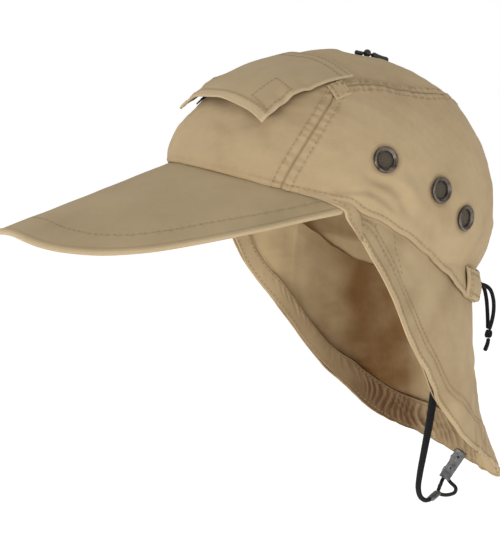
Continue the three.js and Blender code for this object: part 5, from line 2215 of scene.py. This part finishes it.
@dataclass
class Studio:
    """The camera at the photograph's angle, the floor and the soft lights."""

    azimuth: float = math.radians(57)
    elevation: float = math.radians(7.5)
    distance: float = 1.3
    lens: float = 2210 / 548 * 36
    aim: tuple[float, float, float] = (-0.0223, -0.0458, -0.0472)
    floor_z: float = -0.42
    floor_reach: float = 40.0
    floor_glow: float = 0.46
    world_glow: float = 0.6

    def camera(self) -> None:
        """Makes the camera and aims it at the middle of the photograph's frame."""
        e, a = self.elevation, self.azimuth
        way = Vector((math.sin(a) * math.cos(e), -math.cos(a) * math.cos(e), math.sin(e)))
        data = bpy.data.cameras.new("camera")
        data.lens, data.sensor_width, data.sensor_fit = self.lens, 36.0, "AUTO"
        data.clip_start, data.clip_end = 0.05, 100.0
        camera = bpy.data.objects.new("camera", data)
        camera.location = way * self.distance
        camera.rotation_euler = (Vector(self.aim) - camera.location).to_track_quat("-Z", "Y").to_euler()
        bpy.context.scene.collection.objects.link(camera)
        bpy.context.scene.camera = camera

    def light(self, name: str, place: Sequence[float], size: float, watts: float,
              colour: Colour = (1, 1, 1)) -> None:
        """Makes one soft area light that looks at the hat.

        Args:
            name: The light's name.
            place: Where it stands, in metres.
            size: Length of its square's side.
            watts: Its power.
            colour: Its colour.
        """
        data = bpy.data.lights.new(name, "AREA")
        data.shape, data.size, data.energy, data.color = "SQUARE", size, watts, colour
        lamp = bpy.data.objects.new(name, data)
        lamp.location = place
        lamp.rotation_euler = (Vector((0, -0.03, -0.04)) - Vector(place)).to_track_quat("-Z", "Y").to_euler()
        bpy.context.scene.collection.objects.link(lamp)

    def build(self) -> None:
        """Makes the floor, the world's even light and the area lights."""
        mesh = bpy.data.meshes.new("floor")
        corners = ((-1, -1), (1, -1), (1, 1), (-1, 1))
        mesh.from_pydata([(x * self.floor_reach, y * self.floor_reach, self.floor_z) for x, y in corners],
                         [], [(0, 1, 2, 3)])
        finish = Finish("pale_floor", base_color=(0.9, 0.9, 0.9, 1), roughness=0.9,
                        emission_color=(1, 1, 1, 1), emission_strength=self.floor_glow)
        mesh.materials.append(finish.material)
        floor = bpy.data.objects.new("floor", mesh)
        bpy.context.scene.collection.objects.link(floor)
        floor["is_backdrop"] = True
        world = bpy.data.worlds.new("studio")
        world.use_nodes = True
        background = world.node_tree.nodes["Background"]
        background.inputs["Color"].default_value = (1, 1, 1, 1)
        background.inputs["Strength"].default_value = self.world_glow
        bpy.context.scene.world = world
        bpy.context.scene.view_settings.view_transform = "Standard"
        self.light("key", (1.9, -0.2, 0.6), 1.1, 9.5)
        self.light("front", (0.75, -1.9, -0.2), 0.7, 4)
        self.light("low", (0.3, -1.5, -0.36), 0.3, 5.5, (1.0, 0.91, 0.78))
        self.light("sky", (0.1, 0.4, 1.9), 1.2, 3)
        self.light("rim", (-1.3, -1.2, 0.35), 0.8, 9)


def main() -> None:
    """Builds the hat, its camera and its studio in order."""
    logging.basicConfig(level=logging.INFO, format="%(name)s %(message)s")
    studio = Studio()
    studio.camera()
    for part in (Cords(), Crown(), Peak(), PocketFlap(), Cape(), BackTab(), EYELETS, Clip(), studio):
        LOG.info("building %s", type(part).__name__)
        part.build()
    boxes = {"cad": CAD_BOX, "visual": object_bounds()}
    {name: [list(corner) for corner in box] for name, box in boxes.items()}


if __name__ == "__main__":
    main()
